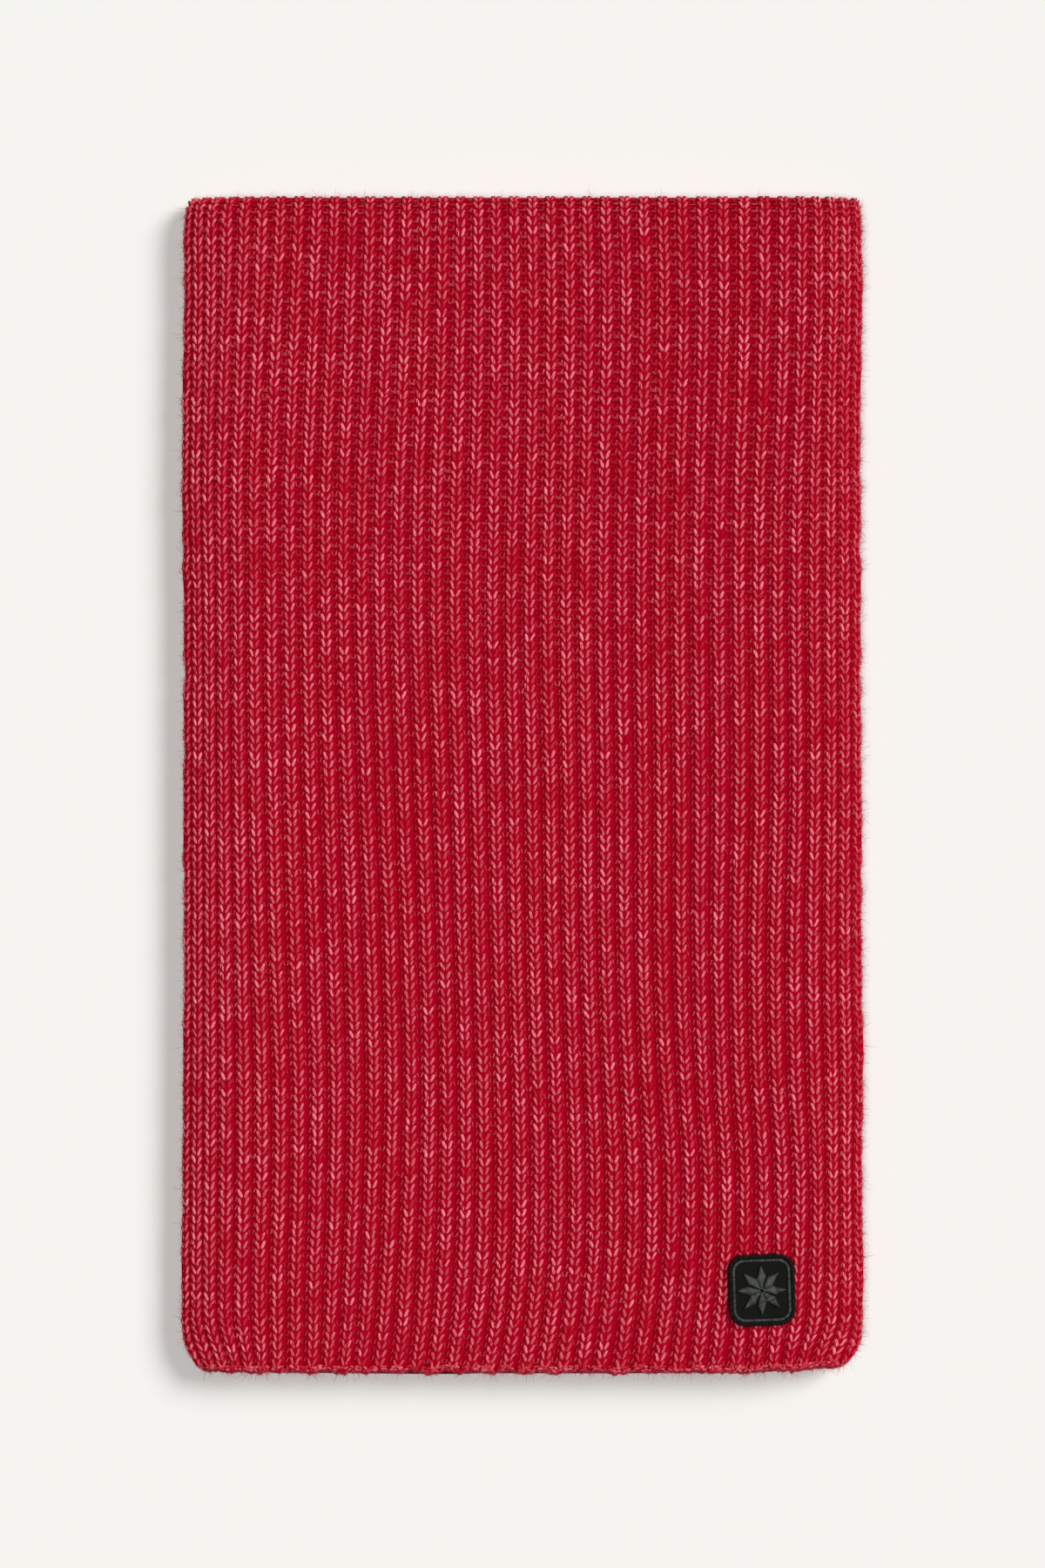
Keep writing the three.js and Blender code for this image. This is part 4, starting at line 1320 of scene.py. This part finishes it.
# %% [markdown]
# ## Loose fibres
#
# Brushed yarn has a halo of fine fibres, which shows best against the table round the scarf's outline, most
# of all at its right side and its free end. Each fibre is a thin three-sided thorn. The short ones are
# straight, and the longer ones bend. Real fibres (0.02 mm) would be too fine to show, so these are coarser.

# %% Grow the loose fibres
FIBRE_THICKNESS = 0.13 * MM
FIBRE_DEPTH = 0.85 * MM
FIBRE_PINK = 0.7
SHORT_FIBRES = 15000
LONG_FIBRES = 2000
SURFACE_FIBRES = 2000
SURFACE_LENGTHS = (1.2 * MM, 3.2 * MM)
SURFACE_RISE = 0.7  # how much more a fibre on the top points up than to any side
CURL, CURL_KEPT, CURL_CHANGE = 0.6, 0.7, 0.25
FIBRE_TAPER = 0.2  # of the thickness, lost at each bend
FIBRE_FLOOR = 0.1 * MM
FLAT_SQUARE = np.array([(0, 0), (0.9, 0), (0.9, 0.9), (0, 0.9)])  # a face's place on the flat picture
ON_SIDES, ON_RIGHT, ON_FREE_END = 0.62, 0.62, 0.75  # shares of the fibres that stand there
OUTLINE_BAND = 1.5  # mm inwards from the outline
FOLD_BAND = (0.2, 0.6)  # of the way round the fold
LENGTH_SKEW = (1.2, 3.0)  # most fibres are short and a few are long
FIBRES = toned_material("stray_fibres", "#A80424", "#E2707F", Roughness=1.0, Specular_IOR_Level=0.0)


def thorns(roots, directions, lengths, bends):
    """Thin thorns with three sides that leave their roots along directions and curl at each bend."""
    count = len(roots)
    heading = directions / np.linalg.norm(directions, axis=1, keepdims=True)
    side = np.cross(heading, rng.normal(0, 1, (count, 3)))
    side /= np.linalg.norm(side, axis=1, keepdims=True)
    other = np.cross(heading, side)
    step = lengths[:, None] / (bends + 1)
    curl = rng.normal(0, CURL, (count, 3))
    place = roots
    places = []
    for level in range(bends + 1):
        for angle in np.arange(3) * math.tau / 3:
            thickness = FIBRE_THICKNESS / 2 * (1 - FIBRE_TAPER * level)
            places.append(place + (side * math.cos(angle) + other * math.sin(angle)) * thickness)
        place = place + heading * step
        heading = heading + curl
        heading /= np.linalg.norm(heading, axis=1, keepdims=True)
        curl = CURL_KEPT * curl + rng.normal(0, CURL_CHANGE, (count, 3))
    places = np.stack([*places, place], axis=1)
    places[..., 2] = np.maximum(places[..., 2], FIBRE_FLOOR)
    faces = [(2, 1, 0)]
    for level in range(bends + 1):
        for k in range(3):
            low, after = 3 * level + k, 3 * level + (k + 1) % 3
            faces.append((low, after, 3 * bends + 3) if level == bends else (low, after, after + 3, low + 3))
    flat = [(FLAT_SQUARE[: len(face)] + (k, 0)) / (len(faces), 1) for k, face in enumerate(faces)]
    form = {"points": places[0], "faces": faces, "flat": np.concatenate(flat), "numbers": {}}
    return form, places, {"tone": rng.uniform(0, FIBRE_PINK, count)}


def outline_roots(count):
    """Places round the top layer's outline, more at the right and front, and the way out from each."""
    on_side = rng.uniform(0, 1, count) < ON_SIDES
    side = np.where(rng.uniform(0, 1, count) < ON_RIGHT, 1, -1)
    end = np.where(rng.uniform(0, 1, count) < ON_FREE_END, -1, 1)
    sunk = rng.uniform(0, OUTLINE_BAND, count) * MM
    across = np.where(on_side, side * (ARCH_END - sunk), rng.uniform(-ARCH_END, ARCH_END, count))
    at_fold = FLAT_LENGTH + FOLD_ARC * rng.uniform(*FOLD_BAND, count)
    at_end = np.where(end < 0, rng.uniform(0, OUTLINE_BAND, count) * MM, at_fold)
    along = np.where(on_side, rng.uniform(0, FLAT_LENGTH + FOLD_ARC / 2, count), at_end)
    nothing = np.zeros(count)
    outward = np.stack([np.where(on_side, side, nothing), np.where(on_side, nothing, end), nothing], axis=1)
    return on_scarf(across, along, -FIBRE_DEPTH), outward


def outline_fibres(count, spread, shortest, longest, bends):
    roots, outward = outline_roots(count)
    length = shortest + (longest - shortest) * rng.beta(*LENGTH_SKEW, count)
    return thorns(roots, outward + rng.normal(0, spread, outward.shape), length, bends)


def surface_fibres():
    across = rng.uniform(-ARCH_END, ARCH_END, SURFACE_FIBRES)
    along = rng.uniform(2 * MM, FLAT_LENGTH + FOLD_ARC / 2, SURFACE_FIBRES)
    roots = on_scarf(across, along, -FIBRE_DEPTH)
    direction = rng.normal(0, 1, roots.shape) + (0, 0, SURFACE_RISE)
    return thorns(roots, direction, rng.uniform(*SURFACE_LENGTHS, SURFACE_FIBRES), bends=1)


fibres = lay_copies("loose_fibres", [
    outline_fibres(SHORT_FIBRES, spread=0.8, shortest=0.7 * MM, longest=2.2 * MM, bends=0),
    outline_fibres(LONG_FIBRES, spread=0.6, shortest=2 * MM, longest=8 * MM, bends=2),
    surface_fibres(),
], FIBRES)

# %% [markdown]
# ## Attach every piece to the scarf's body
#
# Every piece rides on the scarf's one body, and the imported solids that the pieces stand for are hidden.

for piece in ALL_PIECES:
    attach(piece, "root")
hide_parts("front_fall")
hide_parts("folded_layers")
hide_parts("patch_base")
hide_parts("patch_star")

# %% [markdown]
# ## Floor, light and camera
#
# The scarf lies on a plain pale floor. The light is that of a soft studio. A wide key lamp up and to the
# right lets a shadow fall to the left and to the front. A broad fill, almost overhead, lights the valleys
# between the ribs, and a faint even sky lights the rest. The camera looks straight down.

# %% Floor
FLOOR_SIZE = 6
FLOOR_COLOUR = (0.82, 0.812, 0.782, 1)


def pale_floor():
    deselect_all()
    bpy.ops.mesh.primitive_plane_add(size=FLOOR_SIZE, location=(0, 0, 0))
    floor = bpy.context.object
    floor.name = "floor"
    material, _, _ = new_material(
        "matt_white_board", Base_Color=FLOOR_COLOUR, Roughness=1.0, Specular_IOR_Level=0.0)
    floor.data.materials.append(material)


pale_floor()

# %% Light
FLOOR_LIGHT = 3.5
KEY_SHARE, SKY_SHARE = 0.45, 0.05
KEY_DIRECTION = (1.04, 0.6, 1)
KEY_ANGLE = math.radians(27)
FILL_DIRECTION = (-0.12, -0.12, 1)
FILL_ANGLE = math.radians(26)


def add_sun(name, floor_light, angle, direction):
    """A sun gives the whole floor the same light. A wide angle makes it as soft as a large lamp."""
    sun_data = bpy.data.lights.new(name, "SUN")
    sun_data.energy = floor_light / Vector(direction).normalized().z
    sun_data.angle = angle
    sun = bpy.data.objects.new(name, sun_data)
    sun.rotation_euler = Vector(direction).to_track_quat("Z", "Y").to_euler()
    bpy.context.scene.collection.objects.link(sun)


def studio_light():
    world = bpy.data.worlds.new("even_sky")
    bpy.context.scene.world = world
    world.use_nodes = True
    sky = world.node_tree.nodes["Background"]
    sky.inputs["Color"].default_value = (1, 1, 1, 1)
    sky.inputs["Strength"].default_value = FLOOR_LIGHT * SKY_SHARE / math.pi
    add_sun("key_light", FLOOR_LIGHT * KEY_SHARE, KEY_ANGLE, KEY_DIRECTION)
    add_sun("overhead_fill", FLOOR_LIGHT * (1 - KEY_SHARE - SKY_SHARE), FILL_ANGLE, FILL_DIRECTION)


studio_light()
bpy.context.scene.view_settings.view_transform = "Standard"

# %% Camera
PHOTO_HEIGHT_PIXELS = 1800
PIXEL = 0.3576 * MM
LENS_MM = 100
SENSOR_MM = 36
OUTLINE_HEIGHT = 12 * MM


def straight_down_camera():
    data = bpy.data.cameras.new("camera")
    data.lens = LENS_MM
    data.sensor_width = SENSOR_MM
    camera = bpy.data.objects.new("camera", data)
    distance = PHOTO_HEIGHT_PIXELS * PIXEL * LENS_MM / SENSOR_MM
    camera.location = (0, 0, distance + OUTLINE_HEIGHT)
    bpy.context.scene.collection.objects.link(camera)
    bpy.context.scene.camera = camera
    print(f"the camera is {distance:.3f} m above the scarf's outline")


straight_down_camera()

# %% Count the triangles
triangles = sum(len(piece.data.loop_triangles) for piece in ALL_PIECES)
print(f"{len(ALL_PIECES)} pieces have {triangles} triangles in all")
